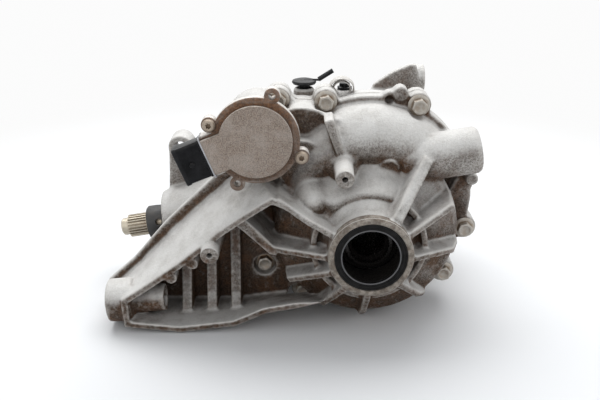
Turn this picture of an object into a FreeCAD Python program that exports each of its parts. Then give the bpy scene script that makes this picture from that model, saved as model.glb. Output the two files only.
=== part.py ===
import FreeCAD, Part
import math
import os
import Sketcher

Vector = FreeCAD.Vector
Rotation = FreeCAD.Rotation

document = FreeCAD.newDocument("rear_differential")
sheet = document.addObject("Spreadsheet::Sheet", "Sizes")
sheet_rows = []
sub_parts = []


# Sizes that carry their own sheet expression

class Dim:
    """A size: its value in millimetres or degrees, and the expression that gives it."""

    def __init__(self, value, text):
        self.value = value
        self.text = text

    def __add__(self, other):
        other = dim(other)
        return Dim(self.value + other.value, f"({self.text} + {other.text})")

    def __sub__(self, other):
        other = dim(other)
        return Dim(self.value - other.value, f"({self.text} - {other.text})")

    def __mul__(self, other):
        other = dim(other)
        return Dim(self.value * other.value, f"({self.text} * {other.text})")

    def __truediv__(self, other):
        other = dim(other)
        return Dim(self.value / other.value, f"({self.text} / {other.text})")

    def __radd__(self, other):
        return dim(other) + self

    def __rsub__(self, other):
        return dim(other) - self

    def __rmul__(self, other):
        return dim(other) * self

    def __neg__(self):
        return Dim(-self.value, f"(0 - {self.text})")


def dim(number):
    if isinstance(number, Dim):
        return number
    return Dim(float(number), f"({float(number)!r})")


def size(name, value):
    """One driving size: a plain number in the sheet under its own word."""
    sheet_rows.append(name)
    cell = f"B{len(sheet_rows)}"
    sheet.set(cell, str(value))
    sheet.setAlias(cell, name)
    return Dim(float(sheet.getContents(cell)), f"Sizes.{name}")


def cosine(angle):
    angle = dim(angle)
    return Dim(math.cos(math.radians(angle.value)), f"cos({angle.text} * 1 deg)")


def sine(angle):
    angle = dim(angle)
    return Dim(math.sin(math.radians(angle.value)), f"sin({angle.text} * 1 deg)")


def polar(centre, radius, angle):
    """The x and z of a point round a centre, its angle taken from +X towards +Z."""
    return centre[0] + radius * cosine(angle), centre[1] + radius * sine(angle)


# Places and building blocks

ALONG_X = Rotation(Vector(0, 0, 1), Vector(1, 0, 0))
ALONG_Y = Rotation(Vector(0, 0, 1), Vector(0, 1, 0))
AGAINST_Y = Rotation(Vector(0, 0, 1), Vector(0, -1, 0))
ALONG_Z = Rotation()
FACING_Y = Rotation(Vector(1, 0, 0), 90)
TURNED_ALONG_Y = Rotation(Vector(0, 0, 1), 90)


def bind(thing, prop, amount):
    thing.setExpression(prop, dim(amount).text)


def put(thing, at, rotation=ALONG_Z):
    """Gives an object its place: the rotation first, then the bound corner or centre."""
    base = [dim(coordinate) for coordinate in at]
    thing.Placement = FreeCAD.Placement(Vector(*[b.value for b in base]), rotation)
    for axis, coordinate in zip("xyz", base):
        thing.setExpression(f"Placement.Base.{axis}", coordinate.text)
    return thing


def cylinder(name, radius, length, at, rotation=ALONG_Y):
    thing = document.addObject("Part::Cylinder", name)
    bind(thing, "Radius", radius)
    bind(thing, "Height", length)
    return put(thing, at, rotation)


def cone(name, radius_start, radius_end, length, at, rotation=ALONG_Y):
    thing = document.addObject("Part::Cone", name)
    bind(thing, "Radius1", radius_start)
    bind(thing, "Radius2", radius_end)
    bind(thing, "Height", length)
    return put(thing, at, rotation)


def block(name, length_x, length_y, length_z, at, rotation=ALONG_Z):
    thing = document.addObject("Part::Box", name)
    bind(thing, "Length", length_x)
    bind(thing, "Width", length_y)
    bind(thing, "Height", length_z)
    return put(thing, at, rotation)


def prism(name, sides, radius, length, at, rotation=ALONG_Y):
    thing = document.addObject("Part::Prism", name)
    thing.Polygon = sides
    bind(thing, "Circumradius", radius)
    bind(thing, "Height", length)
    return put(thing, at, rotation)


def ball(name, radius, at):
    thing = document.addObject("Part::Sphere", name)
    bind(thing, "Radius", radius)
    return put(thing, at)


def torus(name, ring_radius, tube_radius, at, rotation=ALONG_Y):
    thing = document.addObject("Part::Torus", name)
    bind(thing, "Radius1", ring_radius)
    bind(thing, "Radius2", tube_radius)
    return put(thing, at, rotation)


def joined(name, pieces):
    thing = document.addObject("Part::MultiFuse", name)
    thing.Shapes = pieces
    return thing


def common(name, pieces):
    thing = document.addObject("Part::MultiCommon", name)
    thing.Shapes = pieces
    return thing


def cut(name, base, tool):
    """Takes one tool away: a list of tools stands clear of each other and goes as one."""
    if isinstance(tool, list):
        tool = group(name + "_tools", tool)
    thing = document.addObject("Part::Cut", name)
    thing.Base = base
    thing.Tool = tool
    return thing


def group(name, pieces):
    thing = document.addObject("Part::Compound", name)
    thing.Links = pieces
    return thing


def bound_outline(sketch, points):
    """Closes straight lines through the points and binds every point to the sheet."""
    points = [(dim(u), dim(v)) for u, v in points]
    corners = [Vector(u.value, v.value, 0) for u, v in points]
    count = len(points)
    for start in range(count):
        sketch.addGeometry(Part.LineSegment(corners[start], corners[(start + 1) % count]), False)
    for start in range(count):
        sketch.addConstraint(Sketcher.Constraint("Coincident", start, 2, (start + 1) % count, 1))
    for index, (u, v) in enumerate(points):
        for kind, coordinate in (("DistanceX", u), ("DistanceY", v)):
            constraint = Sketcher.Constraint(kind, -1, 1, index, 1, coordinate.value)
            number = sketch.addConstraint(constraint)
            sketch.renameConstraint(number, f"{kind}_{index}")
            sketch.setExpression(f"Constraints.{kind}_{index}", coordinate.text)
    return sketch


def turned(name, profile, at=(0, 0, 0), rotation=TURNED_ALONG_Y):
    """A body turned about its own X axis from points of station and radius."""
    body = document.addObject("PartDesign::Body", name + "_body")
    sketch = body.newObject("Sketcher::SketchObject", name + "_profile")
    for feature in body.Origin.OriginFeatures:
        if feature.Role == "XY_Plane":
            sketch.AttachmentSupport = [(feature, "")]
    sketch.MapMode = "FlatFace"
    bound_outline(sketch, profile)
    revolution = body.newObject("PartDesign::Revolution", name + "_turning")
    revolution.Profile = sketch
    revolution.ReferenceAxis = (sketch, ["H_Axis"])
    revolution.Angle = 360
    body.Tip = revolution
    return put(body, at, rotation)


def plate(name, points, start, thickness, at=(0, 0, 0), rotation=FACING_Y):
    """A flat plate: its outline in x and z, from a start station along +Y."""
    sketch = document.addObject("Sketcher::SketchObject", name + "_outline")
    bound_outline(sketch, points)
    put(sketch, (at[0], dim(at[1]) + start, at[2]), rotation)
    pad = document.addObject("Part::Extrusion", name)
    pad.Base = sketch
    pad.DirMode = "Custom"
    pad.Dir = rotation.multVec(Vector(0, 0, -1))
    bind(pad, "LengthFwd", thickness)
    pad.Solid = True
    return pad


def radial_plate(name, points, centre, angle, thickness):
    """A rib in a plane through a centre: points of distance from it and station along Y."""
    turn = math.radians(dim(angle).value)
    outward = Vector(math.cos(turn), 0, math.sin(turn))
    across = Vector(-math.sin(turn), 0, math.cos(turn))
    sketch = document.addObject("Sketcher::SketchObject", name + "_outline")
    bound_outline(sketch, points)
    put(sketch, (centre[0], 0, centre[1]), Rotation(outward, Vector(0, 1, 0), across, "XYZ"))
    pad = document.addObject("Part::Extrusion", name)
    pad.Base = sketch
    pad.DirMode = "Custom"
    pad.Dir = across
    bind(pad, "LengthFwd", thickness / 2)
    bind(pad, "LengthRev", thickness / 2)
    pad.Solid = True
    return pad


def lofted(name, sections):
    """A ruled body through outlines in x and z, each at its own station along Y."""
    sketches = []
    for number, (station, points) in enumerate(sections):
        sketch = document.addObject("Sketcher::SketchObject", f"{name}_section_{number}")
        bound_outline(sketch, points)
        sketches.append(put(sketch, (0, station, 0), FACING_Y))
    thing = document.addObject("Part::Loft", name)
    thing.Sections = sketches
    thing.Solid = True
    thing.Ruled = True
    return thing


def finished(name, thing):
    """Names a sub-part: its label is also the name of its file."""
    thing.Label = name
    sub_parts.append(thing)
    return thing


# Driving sizes, in millimetres and degrees

roll = size("unit_roll", 9.4)
wall = size("casting_wall", 6.0)
seat_gap = size("seat_clearance", 0.03)
running_gap = size("running_clearance", 0.06)
free_gap = size("free_clearance", 0.4)

split_y = size("split_plane_y", 92.0)
gasket_thickness = size("gasket_thickness", 0.8)
flange_thickness = size("flange_thickness", 11.6)
rear_x = size("dome_centre_x", 3.0)
dome_z = size("dome_centre_z", 22.0)
dome_radius = size("dome_radius", 86.0)
dome_face_y = size("dome_face_y", 42.0)
dome_round = size("dome_shoulder_radius", 34.0)
upper_flange_radius = dome_radius + size("flange_rim", 6.0)
bench_drop = size("bench_drop", 82.0)
bell_radius = size("bell_radius", 80.0)
bell_shoulder_y = size("bell_shoulder_y", 50.0)
boss_face_y = size("boss_face_y", -1.5)
boss_radius = size("boss_radius", 35.0)
boss_root_y = size("boss_root_y", 28.0)
lug_radius = size("bolt_lug_radius", 11.0)
bolt_hole_radius = size("bolt_hole_radius", 4.3)
bolt_radius = size("bolt_radius", 4.0)
bolt_length = size("bolt_length", 26.0)

seal_radius = size("output_seal_radius", 30.0)
seal_depth = size("output_seal_depth", 10.0)
seal_lip_radius = size("output_seal_lip_radius", 23.4)

carrier_race_radius = size("carrier_race_radius", 36.0)
trunnion_radius = size("trunnion_radius", 25.0)
carrier_width = size("carrier_bearing_width", 16.0)
near_bearing_y = size("near_bearing_y", 34.0)
far_bearing_y = size("far_bearing_y", 212.0)
far_face_y = size("far_face_y", 248.0)

crossing_y = size("axis_crossing_y", 150.0)
far_body_y = size("far_body_end_y", 222.0)
far_shoulder = size("far_shoulder_radius", 18.0)

motor_x = size("motor_x", -93.0)
motor_z = size("motor_z", 91.0)
motor_face_y = size("motor_face_y", 20.0)
motor_seat_y = size("motor_seat_y", 62.0)
motor_flange_radius = size("motor_flange_radius", 35.5)
motor_can_radius = size("motor_can_radius", 31.0)
motor_nose_radius = size("motor_nose_radius", 22.0)
cap_height = size("cap_raised_height", 4.0)
cap_plate = size("cap_plate_thickness", 2.0)
motor_flange = size("motor_flange_thickness", 6.0)
motor_can_length = size("motor_can_length", 19.0)
motor_taper = size("motor_taper_length", 5.0)
motor_plate_y = motor_face_y + cap_height + cap_plate
motor_can_end = motor_plate_y + motor_flange + motor_can_length

arm_near_y = size("arm_near_y", 18.0)
arm_far_y = size("arm_far_y", 78.0)
arm_wall = size("arm_wall", 6.0)
arm_eye_radius = size("arm_eye_radius", 19.0)
arm_bore_radius = size("arm_bore_radius", 6.25)
arm_eye_length = size("arm_eye_length", 50.0)
arm_eye_rim = size("arm_eye_rim_length", 22.0)
arm_eye_inner = size("arm_eye_inner_radius", 12.0)
arm_eye_tilt = size("arm_eye_tilt", 4.0)
arm_tip_x = size("arm_tip_x", -226.0)
arm_tip_z = size("arm_tip_z", -61.0)
arm_tip_y = size("arm_tip_y", 40.0)

rib_thickness = size("rib_thickness", 6.0)
rib_root_y = size("rib_root_y", 5.0)
rib_rim_y = size("rib_rim_y", 46.0)

output_axis = (dim(0), dim(0))
dome_axis = (rear_x, dome_z)
motor_axis = (motor_x, motor_z)

# The gear train from motor to clutch: its idler stands where both centre distances meet

fine_module = size("motor_gear_module", 1.5)
coarse_module = size("sector_gear_module", 2.0)
motor_teeth = 12
idler_large_teeth = 50
idler_small_teeth = 14
sector_full_teeth = 70
motor_distance = fine_module * (motor_teeth + idler_large_teeth) / 2
sector_distance = coarse_module * (idler_small_teeth + sector_full_teeth) / 2


def meeting_point(centre, reach, other, other_reach):
    """Where two circles cross, on the upper side."""
    apart_x = other[0].value - centre[0].value
    apart_z = other[1].value - centre[1].value
    apart = math.hypot(apart_x, apart_z)
    along = (apart ** 2 + reach.value ** 2 - other_reach.value ** 2) / (2 * apart)
    aside = math.sqrt(max(reach.value ** 2 - along ** 2, 0.0))
    unit_x = apart_x / apart
    unit_z = apart_z / apart
    x = centre[0].value + along * unit_x + aside * unit_z
    z = centre[1].value + along * unit_z - aside * unit_x
    return dim(round(x, 6)), dim(round(z, 6))


idler_axis = meeting_point(output_axis, sector_distance, motor_axis, motor_distance)
idler_case_radius = fine_module * (idler_large_teeth / 2 + 1) + free_gap * 3 + wall
idler_pin_radius = size("idler_pin_radius", 4.0)
idler_boss_y = size("idler_boss_y", 54.5)
spigot_radius = size("motor_spigot_radius", 8.0)
guide_reach = size("guide_pin_reach", 49.0)
guide_radius = size("guide_pin_radius", 3.0)
guide_angles = (-60.0, -120.0)
guide_y = size("guide_pin_y", 38.0)

REARWARD = Vector(math.cos(math.radians(roll.value)), 0, math.sin(math.radians(roll.value)))
FORWARD = Vector(-REARWARD.x, 0, -REARWARD.z)
ALONG_REARWARD = Rotation(Vector(0, 0, 1), REARWARD)
ALONG_FORWARD = Rotation(Vector(0, 0, 1), FORWARD)
TURNED_FORWARD = Rotation(Vector(1, 0, 0), FORWARD)


def forward(station, beside_y=0.0):
    """A point on the pinion axis, by its distance in front of the output axis."""
    station = dim(station)
    return -(station * cosine(roll)), crossing_y + beside_y, -(station * sine(roll))


# Cover bolts round the split: centre, distance and angle of each

cover_bolt_places = (
    polar(dome_axis, upper_flange_radius + 3, size("upper_left_bolt_angle", 114.0)),
    polar(dome_axis, upper_flange_radius + 1, size("upper_right_bolt_angle", 64.0)),
    polar(output_axis, size("side_bolt_reach", 91.5), size("rear_bolt_angle", -5.0)),
    polar(output_axis, size("lower_bolt_reach", 91.0), size("low_rear_bolt_angle", -35.0)),
    polar(output_axis, size("bottom_bolt_reach", 89.0), size("low_front_bolt_angle", -128.0)),
    polar(output_axis, size("arm_bolt_reach", 99.0), size("arm_bolt_angle", -155.0)),
    polar(idler_axis, size("case_bolt_reach", 51.0), size("case_low_bolt_angle", 215.0)),
    polar(idler_axis, size("case_bolt_reach_top", 52.0), size("case_top_bolt_angle", 112.0)),
)
dowel_places = (
    polar(output_axis, size("dowel_reach", 92.0), size("rear_dowel_angle", 22.0)),
    polar(output_axis, size("dowel_reach_front", 87.0), size("front_dowel_angle", 187.0)),
)
dowel_radius = size("dowel_radius", 5.0)
dowel_length = size("dowel_length", 14.0)


def split_outline(name, start, thickness, margin=0.0):
    """The shared outline of the bolted joint, as a flat piece."""
    low_radius = bench_drop - margin
    pieces = [
        cylinder(f"{name}_upper", upper_flange_radius - margin, thickness, (rear_x, start, dome_z)),
        cylinder(f"{name}_lower", low_radius, thickness, (0, start, 0)),
        cylinder(f"{name}_case", idler_case_radius - margin, thickness,
                 (idler_axis[0], start, idler_axis[1])),
    ]
    for number, (x, z) in enumerate(cover_bolt_places + dowel_places):
        pieces.append(cylinder(f"{name}_lug_{number}", lug_radius - margin, thickness, (x, start, z)))
        pieces.append(cylinder(f"{name}_lug_root_{number}", lug_radius - margin, thickness,
                               (x * 0.93, start, z * 0.93)))
    return joined(name, pieces)


def split_cavity(name, start, thickness, margin=0.0):
    """The opening inside the joint: the bell, the dome and the gear case."""
    inside = dome_radius - wall + margin
    case = idler_case_radius - wall + margin
    return joined(name, [
        cylinder(f"{name}_bell", bell_radius - wall + margin, thickness, (0, start, 0)),
        cylinder(f"{name}_dome", inside, thickness, (rear_x, start, dome_z)),
        cylinder(f"{name}_case", case, thickness, (idler_axis[0], start, idler_axis[1])),
    ])


# The near casting: bell, dome, ribs, arm and bosses in one

def bell_solids():
    face_y = boss_root_y
    shoulder = bell_shoulder_y
    return [
        cylinder("boss", boss_radius, face_y - boss_face_y, (0, boss_face_y, 0)),
        cone("boss_root", boss_radius, boss_radius + 7, 10, (0, face_y - 9, 0)),
        cone("bell_face", boss_radius + 7, bell_radius - 4, shoulder - face_y, (0, face_y, 0)),
        cone("bell_rim", bell_radius - 4, bell_radius, 8, (0, shoulder, 0)),
        cylinder("bell_wall", bell_radius, split_y - shoulder - 9, (0, shoulder + 8, 0)),
    ]


def beside_dome(name, margin, end):
    """The sector behind the crown rib, where the casting steps down from dome to bell."""
    turn = crown_rib_angle - 3
    edge = (-(margin * sine(turn)), margin * cosine(turn))
    start = dome_face_y - 4
    return plate(name, [
        edge, (edge[0] + 140 * cosine(turn), edge[1] + 140 * sine(turn)), (150, -20), (edge[0], -20),
    ], start, end - start)


def dome_solids():
    ring = dome_radius - dome_round
    crown_y = dome_face_y + dome_round
    dome = joined("dome", [
        torus("dome_shoulder", ring, dome_round, (rear_x, crown_y, dome_z)),
        cylinder("dome_core", ring, split_y - dome_face_y - 1, (rear_x, dome_face_y, dome_z)),
        cylinder("dome_wall", dome_radius, split_y - crown_y - 1, (rear_x, crown_y, dome_z)),
    ])
    return [cut("dome_stepped", dome, beside_dome("dome_step", dim(0), split_y - flange_thickness))]


near_rib_crests = (
    (355.0, 73.0, 28.0), (29.0, 78.0, 20.0), (151.0, 88.0, 18.0), (184.0, 80.0, 27.0),
    (208.0, 77.0, 30.0), (237.0, 71.0, 29.0), (268.0, 66.0, 27.0), (312.0, 67.0, 28.0),
)
crown_rib_angle = size("crown_rib_angle", 56.0)


def near_ribs():
    """Each bell rib has its angle and where its crest ends: the reach and the station."""
    ribs = []
    inner = boss_radius - 4
    for number, (angle, reach, station) in enumerate(near_rib_crests):
        rim = bell_radius - 1 + max(reach - 79.0, 0.0)
        ribs.append(radial_plate(f"bell_rib_{number}", [
            (inner, rib_root_y), (boss_radius + 3, rib_root_y), (reach, station), (rim, rib_rim_y),
            (rim, bell_shoulder_y + 12), (inner, bell_shoulder_y + 2),
        ], output_axis, angle, rib_thickness))
    ribs.append(radial_plate("crown_rib", [
        (inner, rib_root_y), (boss_radius + 3, rib_root_y), (boss_radius + 18, rib_root_y + 10),
        (dome_radius, rib_rim_y - 9), (dome_radius + 6, rib_rim_y + 20), (inner, bell_shoulder_y + 10),
    ], output_axis, crown_rib_angle, rib_thickness * 1.6))
    return ribs


def web_ring():
    """Short walls between the ribs round the boss, on the lower side only."""
    ring = cylinder("web_ring_outer", boss_radius + 14, 16, (0, boss_root_y - 8, 0))
    hollow = cylinder("web_ring_inner", boss_radius + 9, 18, (0, boss_root_y - 9, 0))
    above = block("web_ring_above", boss_radius * 2, 20, boss_radius * 2,
                  (-boss_radius * 1.3, boss_root_y - 10, boss_radius * 0.62))
    return cut("web_ring", ring, joined("web_ring_away", [hollow, above]))


rear_boss_x = size("rear_boss_end_x", 94.0)
rear_boss_y = size("rear_boss_y", 60.0)
rear_boss_z = size("rear_boss_end_z", 73.0)
rear_boss_radius = size("rear_boss_radius", 20.0)
rear_boss_length = size("rear_boss_length", 66.0)
rear_bore_radius = size("rear_bore_radius", 6.25)
rear_bore_depth = size("rear_bore_depth", 32.0)


def rear_boss_point(inward):
    """A point on the rear boss axis, measured in from its end face."""
    inward = dim(inward)
    return rear_boss_x - inward * cosine(roll), rear_boss_y, rear_boss_z - inward * sine(roll)


def rear_boss_solids():
    step = 2.5
    body = cylinder("rear_boss", rear_boss_radius, rear_boss_length - step,
                    rear_boss_point(rear_boss_length), ALONG_REARWARD)
    ring = cylinder("rear_boss_ring", rear_boss_radius - 2, step + 1, rear_boss_point(step + 1),
                    ALONG_REARWARD)
    corners = []
    for inward, aside in ((5, -14), (5, 14), (60, 14), (60, -14)):
        corners.append((rear_boss_x - inward * cosine(roll) - aside * sine(roll),
                        rear_boss_z - inward * sine(roll) + aside * cosine(roll)))
    web = plate("rear_boss_web", corners, rear_boss_y, split_y - flange_thickness + 2 - rear_boss_y)
    nub = cylinder("rear_nub", 5.5, 20, (rear_boss_x - 2, split_y - 26, rear_boss_z - 30))
    window = plate("rear_window", [
        (rear_boss_x - 33, rear_boss_z - 25), (rear_boss_x - 18, rear_boss_z - 20),
        (rear_boss_x - 11, rear_boss_z - 29), (rear_boss_x - 20, rear_boss_z - 48),
        (rear_boss_x - 28, rear_boss_z - 40),
    ], split_y - flange_thickness - 8, 15)
    return [body, ring, web, nub], [window]


bracket_x = size("bracket_boss_x", -22.0)
bracket_z = size("bracket_boss_z", 64.0)
bracket_y = size("bracket_boss_y", 9.0)
bracket_radius = size("bracket_boss_radius", 7.5)
bracket_hole_radius = size("bracket_hole_radius", 2.5)
bracket_hole_depth = size("bracket_hole_depth", 16.0)
arm_bracket_x = size("arm_bracket_x", -132.0)
arm_bracket_z = size("arm_bracket_z", -2.0)
arm_bracket_y = size("arm_bracket_y", 8.0)


def bracket_solids():
    """Two bosses for clips, a nub, a cast pad and a small bulge over the idler."""
    bolt_x, bolt_z = cover_bolt_places[0]
    flange_front_y = split_y - gasket_thickness / 2 - flange_thickness
    slope = plate("bracket_rib", [
        (bracket_x - 3, bracket_z + 4), (bracket_x + 3, bracket_z + 6),
        (bolt_x + 5, bolt_z - 4), (bolt_x - 3, bolt_z - 6),
    ], dome_face_y - 2, split_y - dome_face_y - 6)
    return [
        cone("bracket_boss", bracket_radius, bracket_radius + 2, dome_face_y + 12 - bracket_y,
             (bracket_x, bracket_y, bracket_z)),
        cone("nub_boss", 3.5, 6, 26, (bracket_x - 5, split_y - 36, bracket_z + 33)),
        cylinder("cast_pad", 9, 14, (rear_x + 14, dome_face_y - 3, bracket_z - 4)),
        ball("front_bulge", 17, (-47, dome_face_y + 3, 33)),
        cylinder("ledge_lug", 9, flange_thickness, (rear_x + 17, flange_front_y, dome_z + 87)),
        cylinder("ledge_boss", 6.3, flange_thickness + 2, (rear_x + 25, flange_front_y - 2, dome_z + 94)),
        slope,
    ]


def inset_outline(points, distance, shifted):
    """A clockwise outline moved inwards; the shifted corners only move along X instead."""
    points = [(dim(u), dim(v)) for u, v in points]
    moved = []
    for number, (u, v) in enumerate(points):
        if number in shifted:
            moved.append((u + distance, v))
            continue
        before = points[number - 1]
        after = points[(number + 1) % len(points)]
        normals = []
        for start, end in ((before, (u, v)), ((u, v), after)):
            run = end[0].value - start[0].value
            rise = end[1].value - start[1].value
            reach = math.hypot(run, rise)
            normals.append((rise / reach, -run / reach))
        (first_x, first_z), (second_x, second_z) = normals
        share = 1 + first_x * second_x + first_z * second_z
        moved.append((u + distance * ((first_x + second_x) / share),
                      v + distance * ((first_z + second_z) / share)))
    return moved


arm_near_outline = [
    (arm_tip_x + 16, arm_tip_z - 15), (arm_tip_x + 15, arm_tip_z + 12), (arm_tip_x + 37.5, arm_tip_z + 27),
    (arm_tip_x + 67, arm_tip_z + 48), (arm_tip_x + 102, arm_tip_z + 77), (arm_tip_x + 122, arm_tip_z + 91),
    (-80, 45.5), (-32, 18), (-34, -50), (-58, -56.5), (-87, -62), (-114, -75), (-162, -(bench_drop - 1)),
]
arm_far_outline = [
    (arm_tip_x + 10, -bench_drop), (arm_tip_x - 3, arm_tip_z - 3), (arm_tip_x + 23, arm_tip_z + 23),
    (arm_tip_x + 53, arm_tip_z + 56), (arm_tip_x + 76, arm_tip_z + 78), (arm_tip_x + 99, arm_tip_z + 99),
    (-104, 58), (-32, 18), (-34, -66), (-58, -75), (-90, -79), (-114, -bench_drop), (-162, -bench_drop),
]
open_corners = (7, 8)


def arm_solids():
    """The hollow beam: its top slopes up to a lip along the far edge."""
    flange_front_y = split_y - gasket_thickness / 2 - flange_thickness
    body = lofted("arm_body", [(arm_near_y, arm_near_outline), (arm_far_y, arm_far_outline)])
    back = plate("arm_back", inset_outline(arm_far_outline, 3.0, ()), arm_far_y - 6,
                 flange_front_y + 7 - arm_far_y)
    tip = arm_far_outline[1]
    lip = plate("arm_lip", [
        tip, arm_far_outline[2], arm_far_outline[3], arm_far_outline[5], arm_far_outline[6],
        (-104, 66), (arm_tip_x + 96, arm_tip_z + 108), (arm_tip_x + 48, arm_tip_z + 62),
        (arm_tip_x + 17, arm_tip_z + 26), (tip[0] - 6, tip[1] + 6),
    ], arm_far_y - 6, 6)
    hollow = lofted("arm_hollow", [
        (arm_near_y - 1, inset_outline(arm_near_outline, arm_wall, open_corners)),
        (arm_far_y - 7, inset_outline(arm_far_outline, arm_wall, open_corners)),
    ])
    window = plate("lower_window", [(-73, -80), (-66, -62), (-46, -80)], arm_far_y - 12, 24)
    return cut("arm_shell", joined("arm_walls", [body, back, lip]), [hollow, window])


arm_eye_reach = Vector(math.cos(math.radians(arm_eye_tilt.value)), 0,
                       math.sin(math.radians(arm_eye_tilt.value)))
ALONG_EYE = Rotation(Vector(0, 0, 1), arm_eye_reach)


def arm_eye_point(inward):
    """A point on the eye's axis, measured in from the arm's tip."""
    inward = dim(inward)
    return (arm_tip_x + inward * cosine(arm_eye_tilt), arm_tip_y,
            arm_tip_z + inward * sine(arm_eye_tilt))


arm_uprights = ((-159.0, -2.0), (-136.5, 18.0), (-115.0, 36.0))
arm_hooks = ((-166.8, -29.0), (-148.2, -15.5))


def arm_inner_solids():
    """What stands in the arm's pocket: the eye, upright ribs, hooks, a brace and the clip boss."""
    back_y = arm_far_y - 5
    pieces = [
        cylinder("arm_eye", arm_eye_radius, arm_eye_rim, arm_eye_point(0), ALONG_EYE),
        cylinder("arm_eye_inner", arm_eye_inner, arm_eye_length, arm_eye_point(0), ALONG_EYE),
        plate("arm_brace", [(-114, 17), (-104, 22.5), (-78.5, -4), (-77, -12), (-83, -11), (-108, 13)],
              arm_near_y + 10, arm_far_y - arm_near_y - 15),
        cone("arm_bracket_boss", bracket_radius, bracket_radius + 2.5, arm_far_y - arm_bracket_y,
             (arm_bracket_x, arm_bracket_y, arm_bracket_z)),
    ]
    low = 3 - bench_drop
    for number, (x, top) in enumerate(arm_uprights):
        pieces.append(radial_plate(f"arm_upright_{number}", [
            (low, back_y), (low, arm_near_y + 24), (low + 22, arm_near_y + 32), (top, back_y - 7),
            (top, back_y),
        ], (x, 0), 90.0, rib_thickness * 1.5))
    for number, (x, z) in enumerate(arm_hooks):
        pieces.append(cylinder(f"arm_hook_{number}", 5, 14, (x, arm_near_y + 1, z)))
    return pieces


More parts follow.
